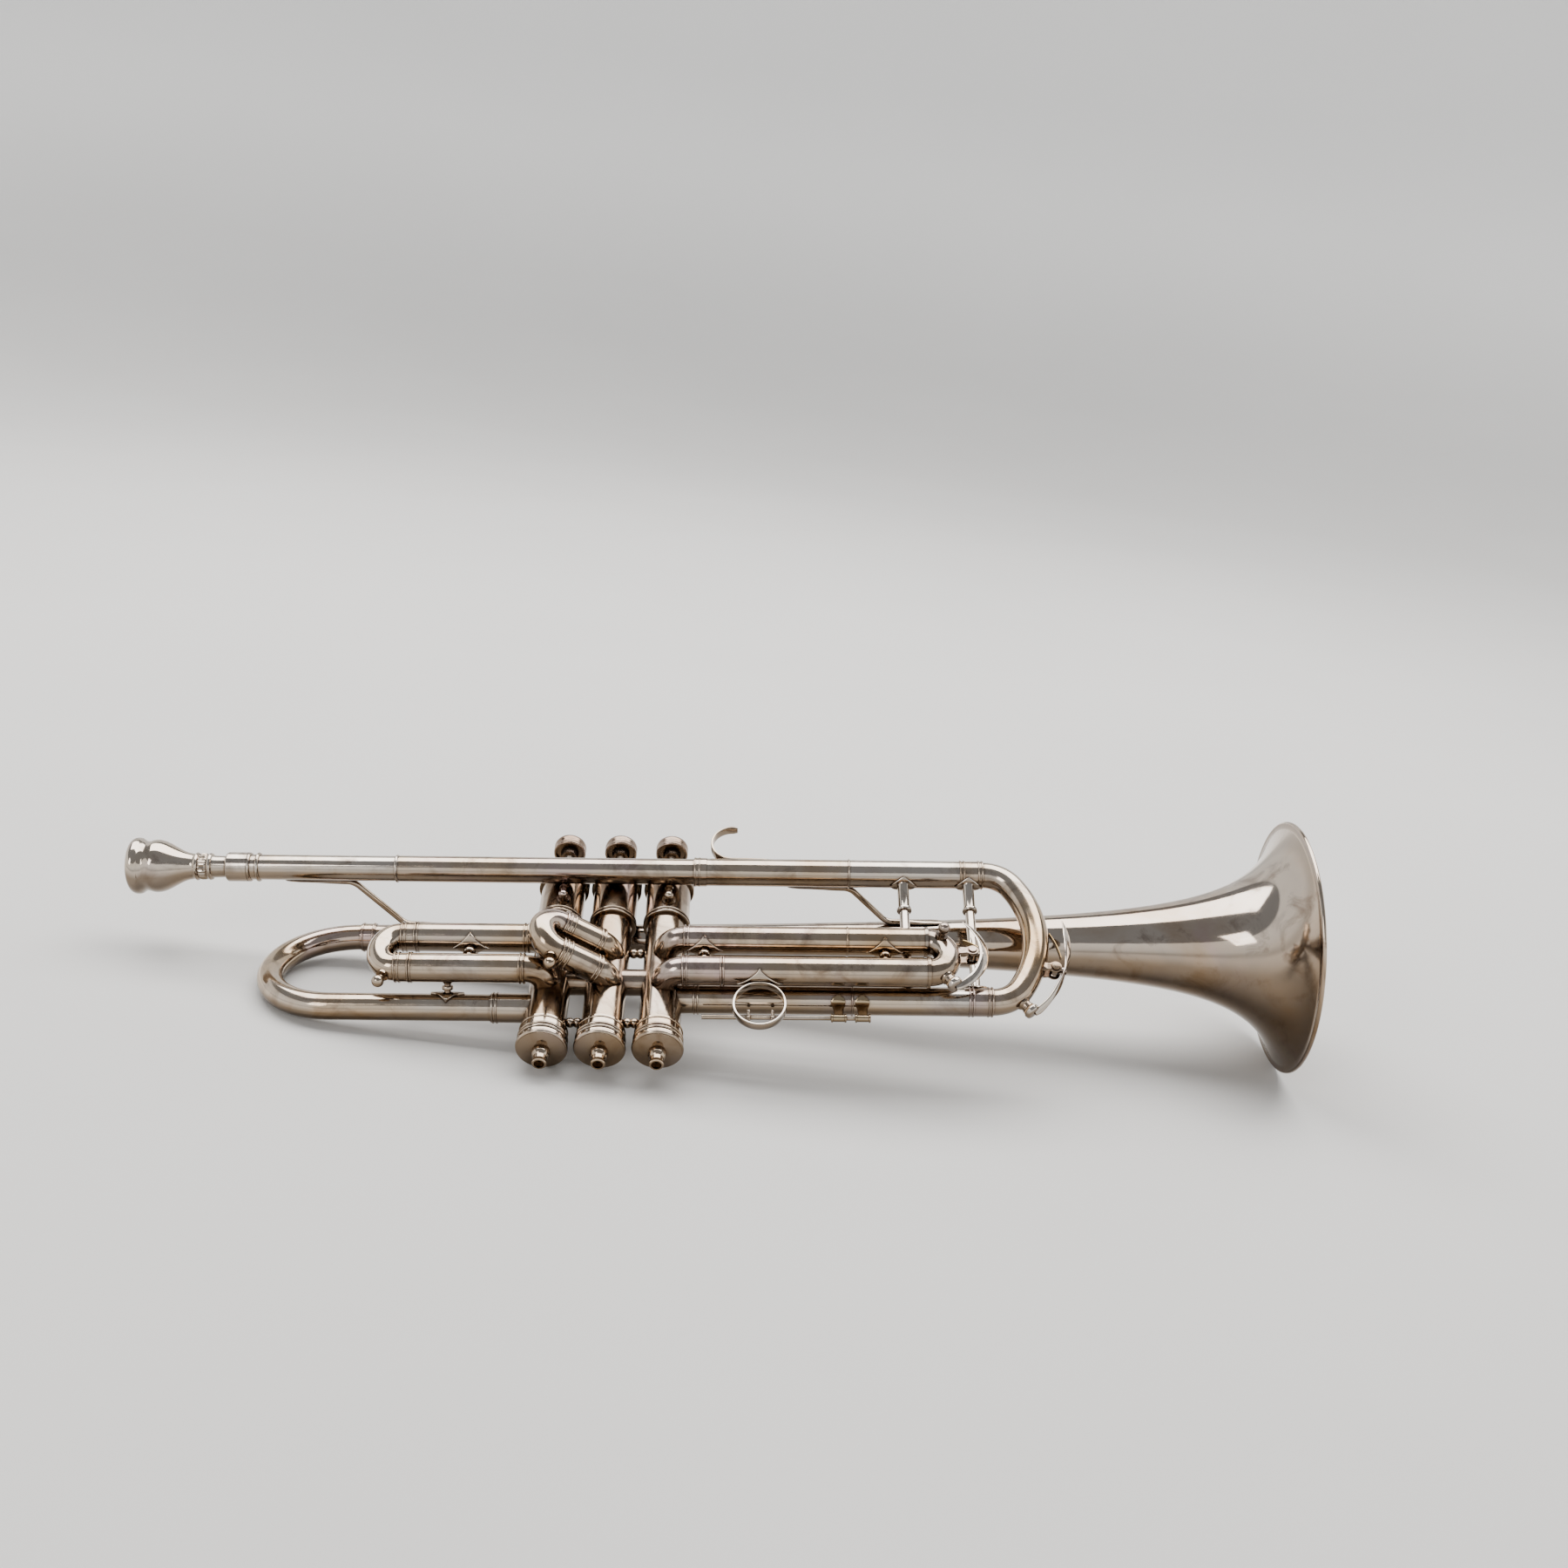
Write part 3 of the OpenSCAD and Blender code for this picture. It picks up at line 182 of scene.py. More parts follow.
ROSE = (0.62, 0.47, 0.46)
# Dark golden and brown of the painted shade on the undersides, standing in for a dark reflection
UNDERSIDE_SHADE_GOLD = (0.13, 0.08, 0.038)
UNDERSIDE_SHADE_BROWN = (0.085, 0.058, 0.036)
CORNER_TARNISH_SHADE_REACH = 0.006          # how far the corner darkening, tarnish with painted shade, spreads from a corner, in metres
BEAD_SHADE_REACH = 0.0013           # and of the painted shade line at the foot of a bead


def silver(name, clean, warm, dark, coverage, rough=0.1, seed=0.0, corner_tarnish_shade=0.75, underside_shade=0.85):
    """Silver plate: a clean colour, a warm film in broad patches and dark tarnish in blotches;
    corners darkened by occlusion (tarnish with painted shade), painted shade lines beside the beads
    and painted shade on the undersides, standing in for a dark reflection."""
    n = Nodes(name)
    film = n.noise(17, 4, 0.6, offset=(seed, seed * 0.7, 3.1), distortion=0.6)
    film_fac = n.ramp(film, "Fac", [
        (0.58 - 0.35 * coverage, grey(0)),
        (0.78 - 0.3 * coverage, grey(1)),
    ])
    blotch = n.noise(58, 6, 0.62, offset=(seed + 4, 1.3, seed), distortion=0.9)
    blotch_fac = n.ramp(blotch, "Fac", [
        (0.62 - 0.16 * coverage, grey(0)),
        (0.86 - 0.1 * coverage, grey(0.9)),
    ])
    tint = n.noise(31, 3, 0.5, offset=(2.2, seed, 7.7))
    halfway = tuple(0.5 * (a + b) for a, b in zip(warm, clean))
    warm_ramp = n.ramp(tint, "Fac", [(0.3, warm), (0.55, halfway), (0.72, ROSE)])
    clean_rgb = n.ramp(tint, "Fac", [(0.25, clean), (0.75, tuple(0.93 * c for c in clean))])
    dark_rgb = n.ramp(tint, "Fac", [(0.3, dark), (0.7, tuple(1.5 * c for c in dark))])
    coat = n.mix(film_fac, "Color", clean_rgb, "Color", warm_ramp, "Color")
    spots = n.mix(blotch_fac, "Color", coat, "Result", dark_rgb, "Color")

    # Darker in corners by ambient occlusion: tarnish in the hollows together with painted shade.
    corner = n.add("ShaderNodeAmbientOcclusion", samples=6)
    corner.inputs["Distance"].default_value = CORNER_TARNISH_SHADE_REACH
    corner_tarnish_shade_fac = n.ramp(corner, "AO", [(0.35, grey(corner_tarnish_shade)), (0.86, grey(0))])
    tarnished_and_shaded_corners = n.mix(corner_tarnish_shade_fac, "Color", spots, "Result", dark_rgb, "Color")
    # Thin dark line at the foot of each bead by ambient occlusion: painted shade.
    bead = n.add("ShaderNodeAmbientOcclusion", samples=6)
    bead.inputs["Distance"].default_value = BEAD_SHADE_REACH
    bead_shade_fac = n.ramp(bead, "AO", [(0.5, grey(0.9)), (0.93, grey(0))])
    bead_shade_lined = n.mix(bead_shade_fac, "Color", tarnished_and_shaded_corners, "Result", dark_rgb, "Color")

    # Down-facing surfaces, shifted by the film's noise, turn dark golden brown: painted shade on the undersides,
    # standing in for a dark reflection from below.
    facing = n.add("ShaderNodeSeparateXYZ")
    n.link(n.coords, "Normal", facing, "Vector")
    lean = n.add("ShaderNodeMath", operation="MULTIPLY_ADD")
    n.link(film, "Fac", lean, 0)
    lean.inputs[1].default_value = 0.5
    n.link(facing, "Z", lean, 2)
    underside_shade_fac = n.ramp(n.remap(lean, 0.1, 0.68), "Result", [(0.0, grey(underside_shade)), (1.0, grey(0))])
    underside_shade_rgb = n.ramp(tint, "Fac", [(0.3, UNDERSIDE_SHADE_GOLD), (0.7, UNDERSIDE_SHADE_BROWN)])
    colour = n.mix(underside_shade_fac, "Color", bead_shade_lined, "Result", underside_shade_rgb, "Color")
    n.link(colour, "Result", n.shader, "Base Color")
    n.shader.inputs["Metallic"].default_value = 1.0

    haze = n.noise(140, 5, 0.6, offset=(seed, 5, 2))
    smooth = n.ramp(haze, "Fac", [(0.3, grey(rough * 0.7)), (0.75, grey(rough * 1.7))])
    dull = n.ramp(haze, "Fac", [(0.3, grey(rough + 0.12)), (0.7, grey(rough + 0.2))])
    rough_mix = n.mix(blotch_fac, "Color", smooth, "Color", dull, "Color")
    n.link(rough_mix, "Result", n.shader, "Roughness")
    dents = n.noise(34, 2, 0.5, offset=(1, seed, 0))
    scratches = n.noise(1500, 3, 0.6, stretch=(0.16, 1, 1), offset=(seed, 0, 1))
    n.bump([(dents, "Fac", 0.22, 0.0008), (scratches, "Fac", 0.05, 0.00012)])
    return n.material


PLATE = silver(
    "silver_plate", clean=(0.70, 0.62, 0.53), warm=(0.52, 0.36, 0.21), dark=(0.10, 0.055, 0.03),
    coverage=0.72)
PLATE_BRIGHT = silver(
    "silver_plate_bright", clean=(0.78, 0.71, 0.63), warm=(0.56, 0.42, 0.27),
    dark=(0.12, 0.07, 0.04), coverage=0.5, rough=0.09, seed=5.0)
PLATE_WORN = silver(
    "silver_plate_worn", clean=(0.52, 0.44, 0.36), warm=(0.36, 0.24, 0.14),
    dark=(0.07, 0.035, 0.02), coverage=0.8, rough=0.13, seed=9.0)
PLATE_BELL = silver(
    "silver_plate_bell", clean=(0.68, 0.59, 0.50), warm=(0.46, 0.31, 0.19),
    dark=(0.10, 0.05, 0.03), coverage=0.5, rough=0.07, seed=2.5, corner_tarnish_shade=0.4)
GILT = silver(
    "silver_plate_golden", clean=(0.58, 0.46, 0.30), warm=(0.46, 0.30, 0.15),
    dark=(0.10, 0.05, 0.025), coverage=0.6, rough=0.12, seed=14.0)
BUTTON = silver(
    "button_plate", clean=(0.42, 0.33, 0.27), warm=(0.28, 0.18, 0.12), dark=(0.06, 0.03, 0.02),
    coverage=0.7, rough=0.2, seed=12.0)
BRONZE = silver(
    "spring_bronze", clean=(0.60, 0.42, 0.20), warm=(0.45, 0.28, 0.12), dark=(0.15, 0.07, 0.03),
    coverage=0.5, rough=0.25, seed=3.0)
PISTON = silver(
    "piston_metal", clean=(0.60, 0.57, 0.52), warm=(0.48, 0.41, 0.33), dark=(0.2, 0.16, 0.13),
    coverage=0.4, rough=0.22, seed=7.0)


def fibre(name, light, dark, scale, rough):
    n = Nodes(name)
    grain = n.noise(scale, 8, 0.7)
    colour = n.ramp(grain, "Fac", [(0.3, dark), (0.7, light)])
    n.link(colour, "Color", n.shader, "Base Color")
    n.shader.inputs["Roughness"].default_value = rough
    n.bump([(grain, "Fac", 0.5, 0.0004)])
    return n.material


FELT = fibre("red_felt", (0.50, 0.09, 0.07), (0.28, 0.03, 0.03), 1400, 0.95)
CORK = fibre("cork", (0.66, 0.47, 0.29), (0.32, 0.19, 0.1), 900, 0.9)

SLOT_MATERIALS = {
    "silver_plate": PLATE,
    "piston_metal": PISTON,
    "button_metal": BUTTON,
    "spring_bronze": BRONZE,
    "felt": FELT,
    "cork": CORK,
}
NODE_MATERIALS = {
    "bell": PLATE_BELL,
    "bell_stem": PLATE_BELL,
    "bell_tail": PLATE_BELL,
    "mouthpiece": PLATE_BRIGHT,
    "mouthpiece_receiver": PLATE_BRIGHT,
    "main_slide_legs": PLATE_BRIGHT,
    "third_slide_legs": PLATE,
    "valve_casing_1": PLATE_WORN,
    "valve_casing_2": PLATE_WORN,
    "valve_casing_3": PLATE_WORN,
    "casing_knuckles": PLATE_WORN,
    "third_slide_bow": PLATE_WORN,
    "third_key_saddle": PLATE_WORN,
}

for node, obj in frame["nodes"].items():
    obj.data.materials.clear()
    obj.data.materials.append(NODE_MATERIALS.get(node, SLOT_MATERIALS[slot_of[node]]))

# ---- shapes ---------------------------------------------------------------------------------
# Each piece is a list of closed shells in instrument millimetres, turned to the row's frame
# once. The dimensions are those of the CAD nodes that the pieces stand for.

TAU = 2 * math.pi


def cos_deg(angle):
    return math.cos(math.radians(angle))


def sin_deg(angle):
    return math.sin(math.radians(angle))


def shift(x, y, z):
    return Matrix.Translation((x, y, z))


def spin(degrees, axis):
    return Matrix.Rotation(math.radians(degrees), 4, axis)


TO_X = spin(90, "Y")
TO_Y = spin(-90, "X")
DOWN = spin(90, "X")


def make_piece(name, shells, material, body, replaced, crease=40):
    """Joins the shells into one smooth piece that rides on body and stands for CAD nodes."""
    mesh = bpy.data.meshes.new(name)
    verts, faces = [], []
    for shell_verts, shell_faces, matrix in shells:
        base = len(verts)
        verts += [place(matrix @ Vector(v)) for v in shell_verts]
        faces += [[base + i for i in f] for f in shell_faces]
    mesh.from_pydata(verts, [], faces)
    bm = bmesh.new()
    bm.from_mesh(mesh)
    bmesh.ops.remove_doubles(bm, verts=bm.verts, dist=1e-7)
    bmesh.ops.recalc_face_normals(bm, faces=bm.faces)
    bm.to_mesh(mesh)
    bm.free()
    mesh.shade_smooth()
    mesh.set_sharp_from_angle(angle=math.radians(crease))
    mesh.materials.append(material)
    obj = bpy.data.objects.new(name, mesh)
    bpy.context.scene.collection.objects.link(obj)
    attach(obj, body)
    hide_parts(*replaced)
    return obj


def lathe(profile, matrix, segments=64, closed=False, lobes=0, depth=0.0, span=None):
    """Turns (radius, height) points about Z. A closed profile is a ring, an open one gets flat
    ends. Between the heights in span the radius swells and shrinks by depth in lobes."""
    verts, faces = [], []
    for r, h in profile:
        for k in range(segments):
            a = TAU * k / segments
            swell = depth * math.cos(lobes * a) if lobes and span[0] <= h <= span[1] else 0.0
            verts.append(((r + swell) * math.cos(a), (r + swell) * math.sin(a), h))
    rows = len(profile)
    for i in range(rows if closed else rows - 1):
        for k in range(segments):
            j, m = (k + 1) % segments, (i + 1) % rows
            faces.append((i * segments + k, i * segments + j, m * segments + j, m * segments + k))
    if not closed:
        faces.append(tuple(range(segments)))
        faces.append(tuple((rows - 1) * segments + k for k in reversed(range(segments))))
    return verts, faces, matrix


def tube_faces(rows, sides):
    """Walls and end caps of a tube whose rings of points follow one another."""
    faces = []
    for i in range(rows):
        for k in range(sides):
            j = (k + 1) % sides
            faces.append((i * sides + k, i * sides + j, (i + 1) * sides + j, (i + 1) * sides + k))
    faces.append(tuple(range(sides)))
    faces.append(tuple(rows * sides + k for k in reversed(range(sides))))
    return faces


def sweep(path, sizes, matrix, power=1.0, sides=20, twists=None):
    """Bar along a path in the XY plane. sizes holds each point's thickness in the plane and
    width across it, twists its turn about the path; power below 1 squares the section."""
    verts = []
    last = len(path) - 1
    for i, point in enumerate(path):
        ahead, behind = path[min(i + 1, last)], path[max(i - 1, 0)]
        t = Vector((ahead[0] - behind[0], ahead[1] - behind[1])).normalized()
        thick, wide = sizes[i]
        turn = math.radians(twists[i]) if twists else 0.0
        turn_c, turn_s = math.cos(turn), math.sin(turn)
        for k in range(sides):
            c, s = math.cos(TAU * k / sides), math.sin(TAU * k / sides)
            a = thick / 2 * math.copysign(abs(c) ** power, c)
            b = wide / 2 * math.copysign(abs(s) ** power, s)
            a, b = a * turn_c - b * turn_s, a * turn_s + b * turn_c
            verts.append((point[0] - t.y * a, point[1] + t.x * a, b))
    return verts, tube_faces(last, sides), matrix


def plate(outline, heights, wrap_r, matrix):
    """Bevelled plate whose outline lies in XY, either flat or wrapped round a tube of radius
    wrap_r on the X axis with its face towards -Y. heights are the bottom, edge and top."""
    cx = sum(p[0] for p in outline) / len(outline)
    cy = sum(p[1] for p in outline) / len(outline)
    low, edge, top = heights
    rings = [(1.0, low), (1.0, edge), (0.95, top - 0.04), (0.9, top), (0.6, top), (0.3, top)]
    verts, faces = [], []

    def point(x, y, h):
        if wrap_r:
            a = y / wrap_r
            return (x, -(wrap_r + h) * math.cos(a), (wrap_r + h) * math.sin(a))
        return (x, y, h)

    n = len(outline)
    for scale, h in rings:
        verts += [point(cx + (x - cx) * scale, cy + (y - cy) * scale, h) for x, y in outline]
    verts.append(point(cx, cy, top))
    for i in range(len(rings) - 1):
        for k in range(n):
            j = (k + 1) % n
            faces.append((i * n + k, i * n + j, (i + 1) * n + j, (i + 1) * n + k))
    last = (len(rings) - 1) * n
    faces += [(last + k, last + (k + 1) % n, len(verts) - 1) for k in range(n)]
    faces.append(tuple(reversed(range(n))))
    return verts, faces, matrix


def lozenge(half_l, half_w, power, count=48):
    """Four-pointed outline whose sides are hollow where power is below 1."""
    points = []
    for k in range(count):
        a = TAU * k / count
        c, s = math.cos(a), math.sin(a)
        points.append((half_l * math.copysign(abs(c) ** (2 / power), c),
                       half_w * math.copysign(abs(s) ** (2 / power), s)))
    return points


def flange(r, half_l, half_w, matrix, power=0.82):
    return plate(lozenge(half_l, half_w, power), (-0.25, 0.7, 1.0), r, matrix)


def post(start, end, r, ring_at, ring_r, matrix):
    """Turned post along -Y with small feet and a ring."""
    foot = [(r + 0.7, 0), (r + 0.6, 0.25), (r, 0.9)]
    half_ring = [(r, 1.0), (ring_r - 0.25, 0.9), (ring_r, 0.55)]
    profile = [(radius, start + h) for radius, h in foot]
    profile += [(radius, ring_at - h) for radius, h in half_ring]
    profile += [(radius, ring_at + h) for radius, h in reversed(half_ring)]
    profile += [(radius, end - h) for radius, h in reversed(foot)]
    return lathe(profile, matrix @ DOWN, 40)


def arc_points(centre, radius, first, last, steps):
    angles = [first + (last - first) * i / steps for i in range(steps + 1)]
    return [(centre[0] + radius * cos_deg(a), centre[1] + radius * sin_deg(a)) for a in angles]


def graded(stops, t):
    """Smooth value between (position, value) stops."""
    for (t0, v0), (t1, v1) in zip(stops, stops[1:]):
        if t <= t1:
            f = max(0.0, (t - t0) / (t1 - t0))
            f = f * f * (3 - 2 * f)
            return v0 + (v1 - v0) * f
    return stops[-1][1]



# ---- dimensions shared with the CAD -----------------------------------------------------------

VALVE_X = (-25.5, 0.0, 25.5)
LEG_Y = 33.0                  # height of the main slide's lower leg
OUTER_R = 6.6                 # outside radius of the slides' tubes
BEND_R = 6.15                 # and of their bows
SLIDE_TOP, SLIDE_LOW, SLIDE_Z = 56.0, 35.3, 15.6
BELL = (95.0, -19.5)          # height and depth of the bell's axis
BOW_Y = 26.0                  # height of the bell bow's lower leg
RIM_X = 327.6
RIM_R = 60.9
FLARE_K, FLARE_POWER = 16.0, 0.68
BELL_LENGTH = 450.6
BELL_WALL = 0.75
WIRE_R = 1.1
RAIL_DROP = LEAD[0] - LEG_Y
MAIN_SPAN = math.hypot(RAIL_DROP, LEAD[1])
MAIN_ROLL = math.degrees(math.atan2(LEAD[1], RAIL_DROP))


def bell_radius(s):
    return RIM_R * (FLARE_K / (s + FLARE_K)) ** FLARE_POWER


def main_frame(x):
    """Axes at x on the main slide's upper leg, with -Y towards its lower leg."""
    return shift(x, *LEAD) @ spin(MAIN_ROLL, "X")


# ---- bell -------------------------------------------------------------------------------------
# One seamless flare, with its wire rolled into the rim

BELL_ROWS = 220
growth = 1 + BELL_LENGTH / FLARE_K
depths = [FLARE_K * (growth ** (i / BELL_ROWS) - 1) for i in range(BELL_ROWS + 1)]
wire = [(RIM_R - 0.3 + WIRE_R * cos_deg(a), WIRE_R * sin_deg(a)) for a in range(-100, 171, 15)]
outer = [(bell_radius(s), -s) for s in reversed(depths) if s > 0.9]
inner = [(bell_radius(s) - BELL_WALL, -s) for s in depths if s > 0.4]
bell = lathe(outer + wire + inner, shift(RIM_X, *BELL) @ TO_X, 192, closed=True)
make_piece("bell_flare", [bell], PLATE_BELL, "instrument",
           ["bell", "bell_stem", "bell_tail", "bell_rim_wire"], crease=50)

# ---- stays, posts and flanges -----------------------------------------------------------------

STAY_FLANGE = (8.4, 7.2)
BOW_FLANGE = (7.6, 6.4)
POST_FLANGE = (6.4, 5.4)
BOW_STAY_X = -70


def slide_stay(x):
    """Flange and post between the two tubes of a slide."""
    at = shift(x, SLIDE_TOP, SLIDE_Z)
    reach = SLIDE_TOP - SLIDE_LOW - OUTER_R
    stay_post = post(OUTER_R - 0.2, reach + 0.1, 1.7, (OUTER_R + reach) / 2, 2.9, at)
    return [flange(OUTER_R, *STAY_FLANGE, at), stay_post]


bow_gap = math.hypot(SLIDE_Z, SLIDE_LOW - BOW_Y)
bow_lean = math.degrees(math.atan2(SLIDE_Z, SLIDE_LOW - BOW_Y))
bow_at = shift(BOW_STAY_X, BOW_Y, 0) @ spin(bow_lean + 180, "X")
bow_r = bell_radius(BELL_LENGTH)
stays = slide_stay(-61.5) + slide_stay(44.8)
stays.append(flange(bow_r, *BOW_FLANGE, bow_at))
stays.append(post(bow_r - 0.2, bow_gap - OUTER_R + 0.1, 1.5, bow_gap / 2, 2.5, bow_at))
make_piece("branch_stay_set", stays, PLATE, "instrument", ["branch_stays"])
make_piece("third_stay", slide_stay(127), PLATE, "third_slide", ["third_slide_stay"])

posts = []
for post_x in (138, 169):
    at = main_frame(post_x)
    far = at @ shift(0, -MAIN_SPAN, 0) @ spin(180, "X")
    shaft = [
        (3.5, OUTER_R - 0.2), (3.3, OUTER_R + 0.3), (2.75, 7.8), (2.75, 20.1), (3.3, 20.2),
        (3.5, 20.6), (3.5, 21.6), (3.3, 21.9), (2.3, 22.1), (2.2, MAIN_SPAN - 7.8),
        (2.9, MAIN_SPAN - OUTER_R - 0.3), (3.1, MAIN_SPAN - OUTER_R + 0.2),
    ]
    posts += [flange(OUTER_R, *POST_FLANGE, at, 1.15), flange(OUTER_R, *POST_FLANGE, far, 1.15)]
    posts.append(lathe(shaft, at @ DOWN, 48))
make_piece("main_posts", posts, PLATE_BRIGHT, "main_slide", ["main_slide_posts"])

# ---- finger ring of the third slide -----------------------------------------------------------

RING_X, RING_TILT = 70.1, 9.5
RING_IN, RING_OUT = 10.9, 12.1
ring_at = shift(RING_X, SLIDE_LOW, SLIDE_Z) @ spin(RING_TILT, "X")
ring_y = -(OUTER_R + RING_OUT + 0.6)
edge = [(RING_IN, 1.5), (11.05, 1.95), (11.4, 2.1), (11.8, 2.0), (RING_OUT, 1.5)]
ring_profile = [(r, -h) for r, h in edge] + [(r, h) for r, h in reversed(edge)]
stem_path = [(0, ring_y + 11.6), (0, ring_y + 12.3), (0, -7.0), (0, -6.3)]
stem_sizes = [(9.5, 3.6), (7.4, 3.4), (7.4, 3.4), (11, 4.2)]
ring_shells = [
    lathe(ring_profile, ring_at @ shift(0, ring_y, 0), 96, closed=True),
    flange(OUTER_R, 10.4, 7.4, ring_at, 0.78),
    sweep(stem_path, stem_sizes, ring_at, 0.7),
]
make_piece("third_finger_ring", ring_shells, PLATE_BRIGHT, "third_slide", ["third_slide_ring"])

# ---- stop rod ---------------------------------------------------------------------------------
# Collars whose pointed leaves lie on the main slide's leg, and two knurled nuts

ROD = (18.5, 3)               # height and depth of the stop rod
LEAF_R = 6.9
SPADE_THICKS = [(0, 0.5), (0.1, 0.9), (1, 1.1)]
SPADE_WIDTHS = [(0, 0.5), (0.12, 2.4), (0.3, 5.2), (0.46, 6.6), (0.6, 6.3), (0.8, 4.6), (1, 4.2)]
spade_path = [(-LEAF_R * sin_deg(b), LEG_Y - LEAF_R * cos_deg(b)) for b in range(73, 31, -3)]
spade_path += [(-3.6, 26.4 - 0.75 * i) for i in range(10)]


def collar(x, hole):
    half = [(hole, 3.5), (1.75, 3.5), (2.0, 3.3), (2.0, 2.7), (1.7, 2.5)]
    sleeve = [(r, -h) for r, h in half] + [(r, h) for r, h in reversed(half)]
    last = len(spade_path) - 1
    shares = [i / last for i in range(last + 1)]
    sizes = [(graded(SPADE_THICKS, s), graded(SPADE_WIDTHS, s)) for s in shares]
    spade = sweep(spade_path, sizes, shift(x, 0, 0) @ TO_X, 0.6)
    return [spade, lathe(sleeve, shift(x, *ROD) @ TO_X, 40, closed=True)]


make_piece("rod_guide", collar(105.6, 1.18), GILT, "instrument", ["stop_rod_guide"])
make_piece("rod_clamp", collar(116.4, 1.1), GILT, "main_slide", ["stop_rod_clamp"])
nut = [
    (1.13, 0), (2.6, 0), (2.7, 0.05), (3.4, 0.15), (3.5, 0.3),
    (3.5, 1.3), (3.4, 1.45), (2.7, 1.55), (2.6, 1.6), (1.13, 1.6),
]
nuts = [lathe(nut, shift(x, *ROD) @ TO_X, 180, True, 36, 0.1, (0.2, 1.4)) for x in (64.4, 75.3)]
make_piece("rod_nuts", nuts, PLATE, "main_slide", ["stop_rod_nuts"])

# ---- braces and finger hook -------------------------------------------------------------------

def s_brace(x, upper_r, lower_r, upper_foot, lower_foot, slope):
    """Tapered rod from the lead pipe to the bell: a flattened foot along each, and two bends."""
    r, turn, radius, sink, foot_steps = 1.6, 45, 8.0, 0.3, 16
    dy, dz = BELL[0] - LEAD[0], BELL[1] - LEAD[1]
    drop = math.hypot(dy, dz) - upper_r - lower_r - 2 * (r - sink)
    diagonal = (drop - 2 * radius * (1 - cos_deg(turn))) / sin_deg(turn)
    aim = spin(math.degrees(math.atan2(-dz, -dy)), "X")
    at = shift(x, *LEAD) @ aim @ shift(0, -upper_r - r + sink, 0)
    path, spine, heading = [], Vector((-upper_foot, 0)), 0.0

    def go(length, bend_deg, steps):
        nonlocal spine, heading
        for _ in range(steps):
            path.append((spine.copy(), heading))
            heading += bend_deg / steps / 2
            spine = spine + length / steps * Vector((cos_deg(heading), sin_deg(heading)))
            heading += bend_deg / steps / 2

    go(upper_foot, 0, foot_steps)
    go(radius * math.radians(turn), -turn, 8)
    go(diagonal, 0, 10)
    go(radius * math.radians(turn + slope), turn + slope, 8)
    go(lower_foot, 0, foot_steps)
    path.append((spine.copy(), heading))
    total = len(path) - 1
    points, sizes = [], []
    for i, (p, angle) in enumerate(path):
        end = min(i, total - i) / foot_steps
        thick = graded([(0, 0.5), (0.05, 1.1), (0.3, 1.5), (1.0, 2.7), (1.6, 2.9)], end)
        wide = graded([(0, 1.6), (0.1, 4.2), (0.3, 4.6), (1.0, 3.2), (1.6, 2.9)], end)
        lean = (r - 0.1 - thick / 2) * (1 if i < total / 2 else -1)
        lean *= graded([(0, 1), (0.9, 1), (1.5, 0)], end)
        points.append((p.x - lean * sin_deg(angle), p.y + lean * cos_deg(angle)))
        sizes.append((thick, wide))
    return [sweep(points, sizes, at, 0.9)]


rear = s_brace(-128, 6.05, bell_radius(RIM_X + 90), 30, 22, 0)
front = s_brace(110, OUTER_R, bell_radius(RIM_X - 136), 28, 24, 2.5)
make_piece("lead_brace_rear", rear, PLATE, "instrument", ["rear_brace"], crease=60)
make_piece("lead_brace_front", front, PLATE, "instrument", ["front_brace"], crease=60)

# Rounded strip that narrows to its tip, on a pointed foot
HOOK_TILT = 10
HOOK_R, HOOK_X = 10.2, 56.5
HOOK_Y = OUTER_R + 0.4
HOOK_THICKS = [(0, 0.5), (0.08, 1.2), (0.9, 1.35), (0.97, 1.5), (1, 0.8)]
HOOK_WIDTHS = [(0, 1.0), (0.1, 4.6), (0.25, 5.0), (0.8, 4.6), (0.95, 4.9), (1, 3.6)]
hook_path = [(HOOK_X + 24 * (1 - i / 12), HOOK_Y) for i in range(12)]
hook_path += arc_points((HOOK_X, HOOK_Y + HOOK_R), HOOK_R, 270, 78, 40)
hook_shares = [i / (len(hook_path) - 1) for i in range(len(hook_path))]
hook_sizes = [(graded(HOOK_THICKS, s), graded(HOOK_WIDTHS, s)) for s in hook_shares]
hook = sweep(hook_path, hook_sizes, shift(0, *LEAD) @ spin(HOOK_TILT, "X"), 0.5)
make_piece("hook_strip", [hook], PLATE_BRIGHT, "instrument", ["finger_hook"], crease=50)

# ---- water keys -------------------------------------------------------------------------------
# Lengths are in a plane through each bow, from the inner corner of its bend

